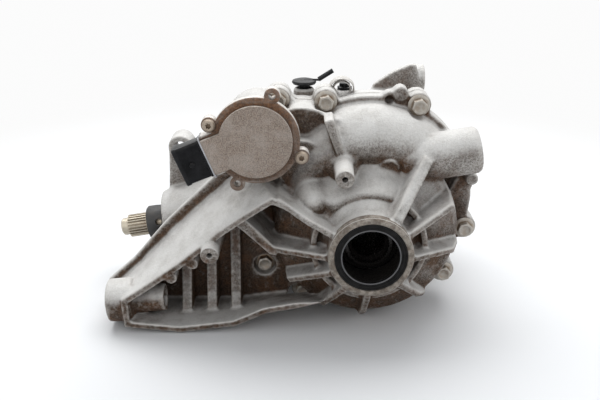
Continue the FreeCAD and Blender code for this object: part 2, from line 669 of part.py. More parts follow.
def make_side_cover():
    flange_y = split_y - gasket_thickness / 2 - flange_thickness
    flange = split_outline("cover_flange", flange_y, flange_thickness)
    rear_solids, rear_cuts = rear_boss_solids()
    arm = joined("arm", [arm_solids()] + arm_inner_solids())
    case_y = motor_seat_y
    case = [
        cylinder("gear_case", idler_case_radius, split_y - case_y - 1,
                 (idler_axis[0], case_y, idler_axis[1])),
        cylinder("gear_case_step", coarse_module * 7 + coarse_module + wall, case_y - 48,
                 (idler_axis[0], 50, idler_axis[1])),
        cylinder("motor_pad", motor_nose_radius + 6, split_y - case_y - 1, (motor_x, case_y, motor_z)),
    ]
    outer = joined("cover_outer", bell_solids() + dome_solids() + near_ribs() + [web_ring()]
                   + rear_solids + bracket_solids() + [flange, arm] + case)

    dome_room = joined("dome_hollow", [
        cylinder("dome_hollow_core", dome_radius - dome_round, 60, (rear_x, dome_face_y + wall, dome_z)),
        cylinder("dome_hollow_rim", dome_radius - wall, 30, (rear_x, dome_face_y + dome_round, dome_z)),
        torus("dome_hollow_round", dome_radius - dome_round, dome_round - wall,
              (rear_x, dome_face_y + dome_round, dome_z)),
    ])
    inside = joined("cover_hollow", [
        cut("dome_hollow_stepped", dome_room, beside_dome("dome_hollow_step", wall, split_y + 40)),
        cylinder("bell_hollow", bell_radius - wall, 60, (0, bell_shoulder_y + 6, 0)),
        cone("bell_hollow_cone", boss_radius + 11, bell_radius - wall, 16, (0, bell_shoulder_y - 10, 0)),
        cylinder("gear_case_hollow", idler_case_radius - wall, 40,
                 (idler_axis[0], motor_seat_y + 5, idler_axis[1])),
        cylinder("gear_case_step_hollow", coarse_module * 8 + free_gap * 3, 50,
                 (idler_axis[0], 54.5, idler_axis[1])),
        cylinder("motor_pad_hollow", fine_module * 7 + free_gap * 3, 40,
                 (motor_x, motor_seat_y + 4, motor_z)),
        block("beyond_split", 500, 60, 400, (-300, split_y - gasket_thickness / 2, -200)),
    ])
    tower = cylinder("bearing_tower", carrier_race_radius + 7, carrier_width + 10,
                     (0, near_bearing_y - 6, 0))
    solid = joined("cover_solid", [cut("cover_shell", outer, inside), tower])
    room = motor_can_radius + 1
    motor_room = spun("motor_room", [
        (motor_face_y - 20, 0), (motor_face_y - 20, motor_flange_radius + 4),
        (motor_plate_y + 9, motor_flange_radius + 4), (motor_plate_y + 9, room),
        (motor_can_end + 0.5, room), (motor_can_end + motor_taper + 0.5, motor_nose_radius + 1),
        (motor_seat_y, motor_nose_radius + 1), (motor_seat_y, 0),
    ], MOTOR)
    solid = cut("cover_beside_motor", solid, motor_room)
    near_bore = turned("near_bore", [
        (boss_face_y - 1, 0), (boss_face_y - 1, seal_radius), (seal_depth + 1, seal_radius),
        (seal_depth + 1, trunnion_radius + 2), (near_bearing_y, trunnion_radius + 2),
        (near_bearing_y, carrier_race_radius), (near_bearing_y + 40, carrier_race_radius),
        (near_bearing_y + 40, 0),
    ])
    bores = [
        near_bore,
        block("cover_below_bench", 500, 300, 40, (-300, -50, -bench_drop - 40)),
        cylinder("rear_bore", rear_bore_radius, rear_bore_depth + 1, rear_boss_point(rear_bore_depth),
                 ALONG_REARWARD),
        cylinder("arm_bore", arm_bore_radius, arm_eye_length + 3, arm_eye_point(-1), ALONG_EYE),
        cylinder("ledge_hole", 3.8, 18, (rear_x + 15.5, split_y - 22, dome_z + 88.3)),
        cylinder("bracket_hole", bracket_hole_radius, bracket_hole_depth + 1,
                 (bracket_x, bracket_y - 1, bracket_z)),
        cylinder("arm_bracket_hole", bracket_hole_radius, bracket_hole_depth + 1,
                 (arm_bracket_x, arm_bracket_y - 1, arm_bracket_z)),
    ]
    bores.append(cylinder("idler_pin_bore", idler_pin_radius + seat_gap, 10,
                          (idler_axis[0], idler_boss_y - 3, idler_axis[1])))
    bores.append(cylinder("motor_spigot_bore", spigot_radius + seat_gap, 10,
                          (motor_x, motor_seat_y - 1, motor_z)))
    for number, angle in enumerate(guide_angles):
        x, z = polar(output_axis, guide_reach, angle)
        bores.append(cylinder(f"guide_pin_bore_{number}", guide_radius + seat_gap, 40, (x, guide_y, z)))
    for number, (x, z) in enumerate(dowel_places):
        bores.append(cylinder(f"cover_dowel_hole_{number}", dowel_radius + seat_gap,
                              dowel_length, (x, split_y - dowel_length / 2, z)))
    for number, (x, z) in enumerate(cover_bolt_places):
        bores.append(turned(f"cover_bolt_hole_{number}", [
            (flange_y - 14, 0), (flange_y - 14, lug_radius - 1), (flange_y, lug_radius - 1),
            (flange_y, bolt_hole_radius), (split_y + 5, bolt_hole_radius), (split_y + 5, 0),
        ], (x, 0, z)))
    return finished("side_cover", cut("side_cover_body", solid, bores + rear_cuts))


# The far casting: barrel, nose for the pinion, ears and belly

nose_end = size("nose_end", 192.0)
nose_radius = size("nose_radius", 30.0)
nose_root_radius = size("nose_root_radius", 50.0)
nose_root = size("nose_root", 62.0)
pinion_seal_radius = size("pinion_seal_radius", 22.0)
pinion_seal_width = size("pinion_seal_width", 9.0)
head_race_radius = size("head_race_radius", 38.0)
head_journal_radius = size("head_journal_radius", 19.0)
head_bearing_at = size("head_bearing_at", 76.0)
head_bearing_width = size("head_bearing_width", 20.0)
tail_race_radius = size("tail_race_radius", 27.0)
tail_journal_radius = size("tail_journal_radius", 14.0)
tail_bearing_at = size("tail_bearing_at", 146.0)
tail_bearing_width = size("tail_bearing_width", 16.0)
far_ear_y = size("far_ear_y", 141.0)
far_ear_length = size("far_ear_length", 12.0)
far_ear_bore = size("far_ear_bore_radius", 6.25)
far_ear_x = size("far_ear_x", 50.0)
far_ear_z = dome_z + dome_radius + size("far_ear_rise", 6.0)
nose_ear_at = size("nose_ear_at", 176.0)
nose_ear_y = size("nose_ear_y", 158.0)
nose_ear_z = size("nose_ear_z", 44.0)
plug_thread_radius = size("plug_thread_radius", 9.0)
vent_x = size("vent_x", -54.0)
vent_y = size("vent_y", 120.0)
vent_top = dome_z + dome_radius - size("vent_boss_drop", 10.0)
vent_radius = size("vent_bore_radius", 4.0)
sensor_x = size("sensor_x", -18.0)
sensor_y = size("sensor_y", 113.0)
sensor_top = dome_z + dome_radius + size("sensor_boss_rise", 4.0)
belly_half = size("belly_half_width", 40.0)
housing_y = split_y + gasket_thickness / 2


def far_housing_solids():
    shoulder_y = far_body_y - far_shoulder
    body_y = housing_y + 1
    return [
        cylinder("far_dome", dome_radius, 34, (rear_x, body_y, dome_z)),
        cone("far_dome_slope", dome_radius, dome_radius - 26, 46, (rear_x, body_y + 34, dome_z)),
        cylinder("far_barrel", bell_radius, shoulder_y - body_y, (0, body_y, 0)),
        torus("far_round", bell_radius - far_shoulder, far_shoulder, (0, shoulder_y, 0)),
        cylinder("far_plate", bell_radius - far_shoulder, far_shoulder, (0, shoulder_y, 0)),
        cone("far_slope", bell_radius - far_shoulder, boss_radius + 10, 12, (0, far_body_y - 1, 0)),
        cylinder("far_boss", boss_radius + 8, far_face_y - far_body_y - 8, (0, far_body_y, 0)),
        cylinder("far_boss_end", boss_radius, far_face_y - far_body_y, (0, far_body_y, 0)),
        block("belly", belly_half * 2, 92, 30, (-belly_half, body_y + 10, -bench_drop)),
        cylinder("far_gear_case", idler_case_radius, 14, (idler_axis[0], body_y, idler_axis[1])),
    ]


def nose_solids():
    reach = nose_end - nose_root
    pieces = [
        cone("nose", nose_root_radius, nose_radius, reach, forward(nose_root), ALONG_FORWARD),
        cylinder("nose_root", nose_root_radius, nose_root, forward(0), ALONG_FORWARD),
        cylinder("nose_collar", nose_radius + 2.5, 12, forward(nose_end - 22), ALONG_FORWARD),
    ]
    for number, side in enumerate((1, -1)):
        pieces.append(plate(f"nose_web_{number}", [
            (-nose_root, side * 78 - 8), (-nose_end + 22, side * 24 - 26),
            (-nose_end + 22, -24), (-nose_root + 30, -8),
        ] if side > 0 else [
            (-nose_root + 30, -8), (-nose_end + 22, -24), (-nose_end + 22, side * 24 - 28),
            (-nose_root - 6, -66), (-nose_root + 30, -74),
        ], crossing_y - 4, 8))
    return pieces


def ear_solids():
    """The ear over the dome and the upright ear on the nose, each with ribs to its casting."""
    ear = plate("far_ear", [
        (far_ear_x - 54, far_ear_z - 32), (far_ear_x - 41, far_ear_z - 1), (far_ear_x - 25, far_ear_z + 10),
        (far_ear_x - 9, far_ear_z + 17), (far_ear_x - 3, far_ear_z + 17), (far_ear_x + 2, far_ear_z - 3),
        (far_ear_x + 8, far_ear_z - 34),
    ], far_ear_y - 15, 6)
    boss = cylinder("far_ear_boss", far_ear_bore + 7.75, far_ear_length,
                    (far_ear_x - far_ear_length / 2, far_ear_y, far_ear_z), ALONG_X)
    rib = radial_plate("far_ear_rib", [
        (far_ear_z - 44, far_ear_y - 13), (far_ear_z, far_ear_y - 13), (far_ear_z, far_ear_y + 13),
        (far_ear_z - 28, far_ear_y + 27), (far_ear_z - 44, far_ear_y + 27),
    ], (far_ear_x, 0), 90.0, rib_thickness + 2)
    nose_x = -(nose_ear_at * cosine(roll))
    nose_ear = plate("nose_ear", [
        (nose_x - 16, -26), (nose_x - 12, nose_ear_z + 2), (nose_x + 12, nose_ear_z + 2),
        (nose_x + 52, -4),
    ], nose_ear_y, 12)
    nose_boss = cylinder("nose_ear_boss", 12, 26, (nose_x, nose_ear_y - 7, nose_ear_z))
    return [ear, boss, rib, nose_ear, nose_boss]


def far_rib_solids():
    ribs = []
    for number, angle in enumerate((20.0, -20.0, -55.0, 75.0, 112.0, 140.0)):
        centre = dome_axis if angle > 60 else output_axis
        crown = dome_radius if angle > 60 else bell_radius
        ribs.append(radial_plate(f"far_rib_{number}", [
            (40, housing_y + 4), (crown + 4, housing_y + 4), (crown + 3, housing_y + 30),
            (crown - 10, far_body_y - 28), (boss_radius + 3, far_face_y - 14), (40, far_body_y - 40),
        ] if angle < 60 else [
            (60, housing_y + 4), (crown + 4, housing_y + 4), (crown + 3, housing_y + 34),
            (crown - 20, housing_y + 76), (60, housing_y + 76),
        ], centre, angle, rib_thickness))
    return ribs


plug_places = (("fill", 30.0, 168.0), ("drain", -46.0, 168.0))
plug_face_x = size("plug_face_x", 84.0)


def make_main_housing():
    flange = split_outline("housing_flange", housing_y, flange_thickness)
    bosses = [
        cylinder("vent_boss", 9, vent_top - 60, (vent_x, vent_y, 60), ALONG_Z),
        cylinder("sensor_boss", 9, sensor_top - 80, (sensor_x, sensor_y, 80), ALONG_Z),
    ]
    for name, z, y in plug_places:
        bosses.append(cylinder(f"{name}_boss", 14, 34, (plug_face_x - 34, y, z), ALONG_X))
    tower = cylinder("head_bearing_tower", head_race_radius + 7, 36, forward(72), ALONG_FORWARD)
    walls = joined("housing_walls", far_housing_solids() + nose_solids() + [tower, flange])
    outer = joined("housing_outer", [walls] + ear_solids() + far_rib_solids() + bosses)
    shoulder_y = far_body_y - far_shoulder
    hollow = joined("housing_hollow", [
        cylinder("far_dome_hollow", dome_radius - wall, 32, (rear_x, housing_y - 1, dome_z)),
        cone("far_dome_hollow_slope", dome_radius - wall, dome_radius - 32, 46,
             (rear_x, housing_y + 31, dome_z)),
        cylinder("far_barrel_hollow", bell_radius - wall, shoulder_y - housing_y + 8,
                 (0, housing_y - 1, 0)),
        cone("far_end_hollow", bell_radius - wall, boss_radius + 16, 8, (0, shoulder_y + 6, 0)),
        cylinder("far_gear_case_hollow", idler_case_radius - wall, 9,
                 (idler_axis[0], housing_y - 1, idler_axis[1])),
    ])
    below = block("below_bench", 500, 300, 40, (-300, 0, -bench_drop - 40))
    solid = cut("housing_low", cut("housing_shell", outer, cut("housing_room", hollow, tower)), below)
    far_bore = turned("far_bore", [
        (far_body_y - 30, 0), (far_body_y - 30, carrier_race_radius),
        (far_bearing_y + carrier_width, carrier_race_radius),
        (far_bearing_y + carrier_width, trunnion_radius + 2),
        (far_face_y - seal_depth - 2.5, trunnion_radius + 2),
        (far_face_y - seal_depth - 2.5, seal_radius), (far_face_y + 1, seal_radius), (far_face_y + 1, 0),
    ])
    head_end = head_bearing_at + head_bearing_width
    nose_bore = turned("nose_bore", [
        (50, 0), (50, head_race_radius), (head_end, head_race_radius),
        (head_end, head_race_radius - 5), (head_end + 8, tail_race_radius - 4),
        (tail_bearing_at - 0.01, tail_race_radius - 4), (tail_bearing_at, tail_race_radius),
        (tail_bearing_at + tail_bearing_width + 9, tail_race_radius),
        (tail_bearing_at + tail_bearing_width + 9, pinion_seal_radius - 3),
        (nose_end - pinion_seal_width - 2, pinion_seal_radius - 3),
        (nose_end - pinion_seal_width - 2, pinion_seal_radius),
        (nose_end + 1, pinion_seal_radius), (nose_end + 1, 0),
    ], forward(0), TURNED_FORWARD)
    nose_x = -(nose_ear_at * cosine(roll))
    bores = [
        cylinder("far_ear_bore", far_ear_bore, far_ear_length + 12,
                 (far_ear_x - far_ear_length / 2 - 6, far_ear_y, far_ear_z), ALONG_X),
        cylinder("nose_ear_bore", far_ear_bore, 50, (nose_x, nose_ear_y - 15, nose_ear_z)),
        cylinder("vent_bore", vent_radius, 60, (vent_x, vent_y, 50), ALONG_Z),
        cylinder("sensor_bore", vent_radius, 14, (sensor_x, sensor_y, sensor_top - 13), ALONG_Z),
    ]
    for name, z, y in plug_places:
        bores.append(cylinder(f"{name}_bore", plug_thread_radius, 46, (plug_face_x - 45, y, z), ALONG_X))
    for number, (x, z) in enumerate(cover_bolt_places):
        bores.append(cylinder(f"tapped_hole_{number}", bolt_radius + seat_gap,
                              bolt_length - flange_thickness + 2, (x, housing_y - 1, z)))
    for number, (x, z) in enumerate(dowel_places):
        bores.append(cylinder(f"housing_dowel_hole_{number}", dowel_radius + seat_gap,
                              dowel_length / 2 + 0.5, (x, split_y, z)))
    bored = cut("housing_bored", solid, bores)
    return finished("main_housing", cut("main_housing_body", bored, joined("round_bores", [far_bore, nose_bore])))


# Small outside pieces

def make_gasket():
    start = split_y - gasket_thickness / 2
    sheet_metal = split_outline("gasket_sheet", start, gasket_thickness, 0.6)
    opening = split_cavity("gasket_opening", start - 1, gasket_thickness + 2, 0.3)
    holes = []
    for number, (x, z) in enumerate(cover_bolt_places):
        holes.append(cylinder(f"gasket_bolt_hole_{number}", bolt_hole_radius, 4, (x, start - 1, z)))
    for number, (x, z) in enumerate(dowel_places):
        holes.append(cylinder(f"gasket_dowel_hole_{number}", dowel_radius + 0.3, 4, (x, start - 1, z)))
    below = block("gasket_trim", 500, 4, 40, (-300, start - 1, -bench_drop - 40))
    return finished("cover_gasket", cut("gasket_body", cut("gasket_ring", sheet_metal, opening), holes + [below]))


def flange_screw(name, radius, length, flange, head, head_height, sides, at, rotation):
    """One flanged screw as a single solid: shank, washer flange and head with a recess."""
    x, y, z = at
    start = dim(y)
    pieces = [
        cylinder(f"{name}_shank", radius, length, (x, start - 0.5, z), rotation),
        cylinder(f"{name}_washer", flange, 1.6, (x, start - 1.6, z), rotation),
        prism(f"{name}_head", sides, head, head_height, (x, start - 1.6 - head_height, z), rotation),
    ]
    return joined(name, pieces)


def make_cover_bolts():
    seat_y = split_y - gasket_thickness / 2 - flange_thickness
    bolts = []
    for number, (x, z) in enumerate(cover_bolt_places):
        bolts.append(flange_screw(f"cover_bolt_{number}", bolt_radius, bolt_length, 9.6, 6.9, 6.4, 6,
                                  (x, seat_y, z), ALONG_Y))
    return finished("cover_bolts", group("cover_bolt_set", bolts))


def make_dowels():
    pins = []
    for number, (x, z) in enumerate(dowel_places):
        start = split_y - dowel_length / 2 + 0.25
        sleeve = cylinder(f"dowel_{number}_outer", dowel_radius, dowel_length - 0.5, (x, start, z))
        inner = cylinder(f"dowel_{number}_inner", dowel_radius - 1.5, dowel_length + 2, (x, start - 1, z))
        pins.append(cut(f"dowel_{number}", sleeve, inner))
    return finished("dowel_sleeves", group("dowel_set", pins))


def make_plugs():
    for name, z, y in plug_places:
        body = joined(f"{name}_plug_solid", [
            cylinder(f"{name}_plug_thread", plug_thread_radius - seat_gap, 12,
                     (plug_face_x - 11.5, y, z), ALONG_X),
            cylinder(f"{name}_plug_flange", plug_thread_radius + 3.5, 2.5, (plug_face_x, y, z), ALONG_X),
            cylinder(f"{name}_plug_head", plug_thread_radius, 5, (plug_face_x + 2, y, z), ALONG_X),
        ])
        key = prism(f"{name}_plug_key", 6, 5, 6, (plug_face_x + 2, y, z), ALONG_X)
        finished(f"{name}_plug", cut(f"{name}_plug_body", body, key))


def output_seal(name, outer_face, inward):
    """A lip seal in its bore: metal case, rubber lip and dust edge, turned as one."""
    lip = seal_lip_radius
    case = seal_radius - seat_gap
    profile = [
        (0, case), (seal_depth, case), (seal_depth, case - 2), (2.5, case - 2), (2.5, lip + 3),
        (7, lip + 2), (7, lip + 0.8), (5, lip + 0.8), (2, lip + 1.8), (2, lip), (0, lip),
    ]
    if inward < 0:
        profile = [(outer_face - station, radius) for station, radius in profile]
    else:
        profile = [(outer_face + station, radius) for station, radius in profile]
    return finished(name, turned(name, profile))


class Shaft:
    """A turning axis: its start, its direction and two directions square to it."""

    def __init__(self, start, along, side):
        self.start = tuple(dim(coordinate) for coordinate in start)
        self.along = along
        self.side = side
        self.up = along.cross(side)
        self.turning = Rotation(along, side, self.up, "XYZ")

    def radial(self, angle):
        turn = math.radians(angle)
        return self.side * math.cos(turn) + self.up * math.sin(turn)

    def point(self, station, radius=0.0, angle=0.0):
        outward = self.radial(angle)
        return tuple(self.start[k] + dim(station) * self.along[k] + dim(radius) * outward[k]
                     for k in range(3))

    def frame(self):
        """The placement that carries a shape from its own X axis on to this one."""
        base = Vector(*[coordinate.value for coordinate in self.start])
        return FreeCAD.Placement(base, self.turning)


OUTPUT = Shaft((0, 0, 0), Vector(0, 1, 0), Vector(1, 0, 0))
PINION = Shaft((0, crossing_y, 0), FORWARD, Vector(0, 1, 0))
MOTOR = Shaft((motor_x, 0, motor_z), Vector(0, 1, 0), Vector(1, 0, 0))
IDLER = Shaft((idler_axis[0], 0, idler_axis[1]), Vector(0, 1, 0), Vector(1, 0, 0))


def spun(name, profile, shaft):
    return turned(name, profile, shaft.start, shaft.turning)


# Tapered roller bearings: two races and the rollers between them

roller_tilt = size("roller_tilt", 12.0)
rollers_per_bearing = 12


def roller_bearing(name, shaft, start, width, bore, outer, opens=1):
    """opens is 1 where the rollers spread along the shaft and -1 where they close."""
    slope = sine(roller_tilt) / cosine(roller_tilt) * opens
    roller = (outer - bore) * 0.2
    middle = start + width / 2
    centre = (outer + bore) / 2 + 0.2
    reach = roller / cosine(roller_tilt) + running_gap

    def channel(station, side):
        return centre + slope * (dim(station) - middle) + reach * side

    end = start + width
    inset = 1.5
    inner = spun(f"{name}_inner", [
        (start, bore + seat_gap), (start, channel(start, -1)),
        (end, channel(end, -1)), (end, bore + seat_gap),
    ], shaft)
    cup = spun(f"{name}_outer", [
        (start + inset, channel(start + inset, 1)), (start + inset, outer - seat_gap),
        (end - inset, outer - seat_gap), (end - inset, channel(end - inset, 1)),
    ], shaft)
    rollers = []
    length = width - 2 * inset - 1
    first = start + inset + 0.5
    tilt = math.radians(roller_tilt.value) * opens
    for number in range(rollers_per_bearing):
        angle = 360.0 * number / rollers_per_bearing
        lean = shaft.along * math.cos(tilt) + shaft.radial(angle) * math.sin(tilt)
        at = shaft.point(first, centre + slope * (first - middle), angle)
        rollers.append(cylinder(f"{name}_roller_{number}", roller, length, at,
                                Rotation(Vector(0, 0, 1), lean)))
    finished(f"{name}_inner_race", inner)
    finished(f"{name}_rollers", group(f"{name}_roller_set", rollers))
    finished(f"{name}_outer_race", cup)


# Gear teeth

pressure_angle = size("pressure_angle", 20.0)
tooth_slack = size("tooth_slack", 0.12)


def involute(angle):
    return math.tan(angle) - angle


def tooth_half_angle(teeth, module, radius, slack):
    """Half the angle a tooth spans at a radius, thinned by the slack on each flank."""
    pitch = teeth * module / 2
    base = pitch * math.cos(math.radians(pressure_angle.value))
    at_pitch = math.pi / (2 * teeth) + involute(math.radians(pressure_angle.value)) - slack / pitch
    rolled = math.acos(min(base / max(radius, base), 1.0))
    return at_pitch - involute(rolled)


def spur_points(teeth, module, phase, first, last, addendum, dedendum, slack):
    """The toothed edge from one tooth to another, as angles in radians and radii."""
    pitch = teeth * module / 2
    root = pitch - dedendum * module
    tip = pitch + addendum * module
    radii = (root, pitch - 0.45 * module, pitch, pitch + 0.5 * addendum * module, tip)
    points = []
    for tooth in range(first, last + 1):
        centre = phase + 2 * math.pi * tooth / teeth
        for radius in radii:
            points.append((centre - tooth_half_angle(teeth, module, radius, slack), radius))
        for radius in reversed(radii):
            points.append((centre + tooth_half_angle(teeth, module, radius, slack), radius))
    return points


def spur_solid(edge, centre_x, centre_z, start, width, inner=None):
    """A gear or a sector: the toothed edge, closed round an inner radius where one is given."""
    corners = [(radius * math.cos(angle), radius * math.sin(angle)) for angle, radius in edge]
    if inner:
        low = edge[0][0]
        high = edge[-1][0]
        steps = 8
        for step in range(steps + 1):
            angle = high + (low - high) * step / steps
            corners.append((inner * math.cos(angle), inner * math.sin(angle)))
    points = [Vector(centre_x + x, start, centre_z + z) for x, z in corners]
    face = Part.Face(Part.makePolygon(points + points[:1]))
    return face.extrude(Vector(0, width, 0))


def bevel_tooth(teeth, module, cone_angle, phase, shares, turns, addendum, dedendum, slack):
    """One tooth as a ruled body through sections that shrink towards the cone's apex."""
    pitch = teeth * module / 2
    distance = pitch / math.sin(cone_angle)
    virtual = teeth / math.cos(cone_angle)
    heights = (-dedendum * module - 0.4, -0.5 * module, 0.0, 0.5 * addendum * module, addendum * module)
    wires = []
    for share, turn in zip(shares, turns):
        left = []
        right = []
        for height in heights:
            radius = pitch + height * math.cos(cone_angle)
            axial = distance * math.cos(cone_angle) - height * math.sin(cone_angle)
            reach = virtual * module / 2 + height
            half = tooth_half_angle(virtual, module, reach, slack) * reach
            around = phase + turn
            for side, row in ((-1, left), (1, right)):
                row.append(Vector(axial, radius * math.cos(around) - side * half * math.sin(around),
                                  radius * math.sin(around) + side * half * math.cos(around)) * share)
        corners = left + right[::-1]
        wires.append(Part.makePolygon(corners + corners[:1]))
    return Part.makeLoft(wires, True, True)


def revolved_solid(profile):
    """A plain turned solid about X from points of station and radius."""
    points = [Vector(station, radius, 0) for station, radius in profile]
    face = Part.Face(Part.makePolygon(points + points[:1]))
    return face.revolve(Vector(0, 0, 0), Vector(1, 0, 0), 360)


def bevel_gear(teeth, module, cone_angle, phase, face_width, turns, addendum, dedendum, slack, extra):
    """A bevel gear about X with its apex at the origin: root cone, teeth and turned extras."""
    pitch = teeth * module / 2
    distance = pitch / math.sin(cone_angle)
    inner = 1 - face_width / distance
    count = len(turns)
    shares = [1 + (inner - 1) * k / (count - 1) for k in range(count)]
    root_drop = dedendum * module
    root_outer = (distance * math.cos(cone_angle) + root_drop * math.sin(cone_angle),
                  pitch - root_drop * math.cos(cone_angle))
    root_inner = (root_outer[0] * inner, root_outer[1] * inner)
    blank = revolved_solid(extra(root_inner, root_outer))
    solids = []
    for tooth in range(teeth):
        turn = 2 * math.pi * tooth / teeth
        solids.append(bevel_tooth(teeth, module, cone_angle, phase + turn, shares, turns,
                                  addendum, dedendum, slack))
    return blank.fuse(solids).removeSplitter()


def carved(name, shape, placement=None):
    thing = document.addObject("Part::Feature", name)
    thing.Shape = shape
    if placement:
        thing.Placement = placement
    return thing


# Ring gear and pinion

ring_module = size("ring_gear_module", 4.0)
ring_face = size("ring_gear_face_width", 25.0)
spiral_turn = size("ring_gear_spiral_turn", 12.0)
pinion_teeth = 13
ring_teeth = 34
spiral_steps = 4
ring_seat_y = size("ring_seat_y", 196.0)
case_radius = size("case_radius", 42.0)
ring_bolt_reach = size("ring_bolt_reach", 58.0)
ring_bolt_count = 10
shaft_journal = size("pinion_seal_journal_radius", 13.0)
spline_radius = size("spline_radius", 11.3)
spline_depth = size("spline_depth", 1.3)
spline_count = 24
spline_start = size("spline_start", 212.0)
spline_end = size("spline_end", 232.0)
pilot_end = size("pilot_end", 239.0)
pilot_radius = size("pilot_radius", 8.5)
ring_cone_angle = math.atan(ring_teeth / pinion_teeth)
pinion_cone_angle = math.atan(pinion_teeth / ring_teeth)


def make_ring_gear():
    turns = [math.radians(spiral_turn.value) * k / (spiral_steps - 1) for k in range(spiral_steps)]
    back = ring_seat_y.value - crossing_y.value
    inner_radius = case_radius.value + 2.5
    phase = math.pi / ring_teeth

    def extra(root_inner, root_outer):
        return [
            root_inner, root_outer, (back - 6, root_outer[1] + 1.5), (back, root_outer[1] + 1.5),
            (back, inner_radius), (root_inner[0] + 4, inner_radius), (root_inner[0] + 1, root_inner[1]),
        ]

    shape = bevel_gear(ring_teeth, ring_module.value, ring_cone_angle, phase, ring_face.value, turns,
                       0.7, 1.15, tooth_slack.value * 2, extra)
    shape = shape.cut(Part.makeCylinder(case_radius.value + 1, 120, Vector(-60, 0, 0), Vector(1, 0, 0)))
    holes = []
    for number in range(ring_bolt_count):
        angle = 2 * math.pi * number / ring_bolt_count
        at = Vector(back - 14, ring_bolt_reach.value * math.cos(angle),
                    ring_bolt_reach.value * math.sin(angle))
        holes.append(Part.makeCylinder(bolt_radius.value + seat_gap.value, 20, at, Vector(1, 0, 0)))
    shape = shape.cut(Part.makeCompound(holes))
    frame = Rotation(Vector(0, 1, 0), Vector(-REARWARD.x, 0, -REARWARD.z),
                     Vector(0, 1, 0).cross(Vector(-REARWARD.x, 0, -REARWARD.z)), "XYZ")
    place = FreeCAD.Placement(Vector(0, crossing_y.value, 0), frame)
    return finished("ring_gear", carved("ring_gear_solid", shape, place))


def make_ring_bolts():
    bolts = []
    head_y = ring_seat_y + 10
    for number in range(ring_bolt_count):
        angle = 360.0 * number / ring_bolt_count + 180 + roll.value
        x, z = polar(output_axis, ring_bolt_reach, angle)
        bolts.append(joined(f"ring_bolt_{number}", [
            cylinder(f"ring_bolt_shank_{number}", bolt_radius, 23, (x, head_y - 22.5, z)),
            prism(f"ring_bolt_head_{number}", 6, 6.5, 5, (x, head_y, z)),
        ]))
    return finished("ring_gear_bolts", group("ring_bolt_set", bolts))


def make_pinion():
    ratio = ring_teeth / pinion_teeth
    turns = [-ratio * math.radians(spiral_turn.value) * k / (spiral_steps - 1)
             for k in range(spiral_steps)]
    head_back = head_bearing_at.value - 0.5
    journal = head_journal_radius.value
    tail = tail_journal_radius.value
    tail_end = tail_bearing_at.value + tail_bearing_width.value

    def extra(root_inner, root_outer):
        return [
            (root_inner[0], 0), root_inner, root_outer, (root_outer[0] + 3, root_outer[1] + 2),
            (head_back, journal + 4), (head_back, journal),
            (head_bearing_at.value + head_bearing_width.value + 1, journal),
            (head_bearing_at.value + head_bearing_width.value + 4, tail),
            (tail_end + 9, tail), (tail_end + 10, shaft_journal.value),
            (spline_start.value, shaft_journal.value), (spline_start.value, spline_radius.value - spline_depth.value),
            (spline_end.value - 0.5, spline_radius.value - spline_depth.value),
            (spline_end.value, pilot_radius.value), (pilot_end.value - 1.5, pilot_radius.value),
            (pilot_end.value, pilot_radius.value - 1.5), (pilot_end.value, 0),
        ]

    shape = bevel_gear(pinion_teeth, ring_module.value, pinion_cone_angle, 0.0, ring_face.value, turns,
                       0.85, 1.1, tooth_slack.value * 2, extra)
    teeth = []
    length = spline_end.value - spline_start.value - 0.5
    for number in range(spline_count):
        angle = 2 * math.pi * number / spline_count
        half = math.pi / spline_count * 0.55
        root = spline_radius.value - spline_depth.value - 0.4
        tip = spline_radius.value
        points = []
        for radius, turn in ((root, -half * 1.25), (tip, -half * 0.7), (tip, half * 0.7), (root, half * 1.25)):
            points.append(Vector(spline_start.value - 0.3, radius * math.cos(angle + turn),
                                 radius * math.sin(angle + turn)))
        teeth.append(Part.Face(Part.makePolygon(points + points[:1])).extrude(Vector(length, 0, 0)))
    shape = shape.fuse(teeth)
    return finished("pinion_shaft", carved("pinion_solid", shape, PINION.frame()))


def make_pinion_trim():
    start = head_bearing_at + head_bearing_width
    end = tail_bearing_at + tail_bearing_width
    spacer = spun("pinion_spacer_solid", [
        (start + 4.2, tail_journal_radius + seat_gap), (start + 4.2, tail_journal_radius + 3),
        (start + 18, tail_journal_radius + 3), (start + 24, tail_journal_radius + 4.6),
        (start + 30, tail_journal_radius + 3), (tail_bearing_at, tail_journal_radius + 3),
        (tail_bearing_at, tail_journal_radius + seat_gap),
    ], PINION)
    finished("pinion_spacer", spacer)
    outside = prism("pinion_nut_hex", 12, 21, 7.5, PINION.point(end + 0.3), ALONG_FORWARD)
    bore = cylinder("pinion_nut_bore", tail_journal_radius + seat_gap, 9, PINION.point(end), ALONG_FORWARD)
    finished("pinion_nut", cut("pinion_nut_solid", outside, bore))
    face = nose_end - 0.5
    lip = shaft_journal + running_gap
    seal = spun("pinion_seal_solid", [
        (face, pinion_seal_radius - seat_gap), (face - pinion_seal_width, pinion_seal_radius - seat_gap),
        (face - pinion_seal_width, pinion_seal_radius - 2), (face - 2, pinion_seal_radius - 2),
        (face - 2, lip + 3), (face - 6, lip + 2), (face - 6, lip), (face - 4, lip),
        (face - 1, lip + 1.5), (face, lip + 1.5),
    ], PINION)
    finished("pinion_seal", seal)


shield_radius = size("dust_shield_radius", 16.6)


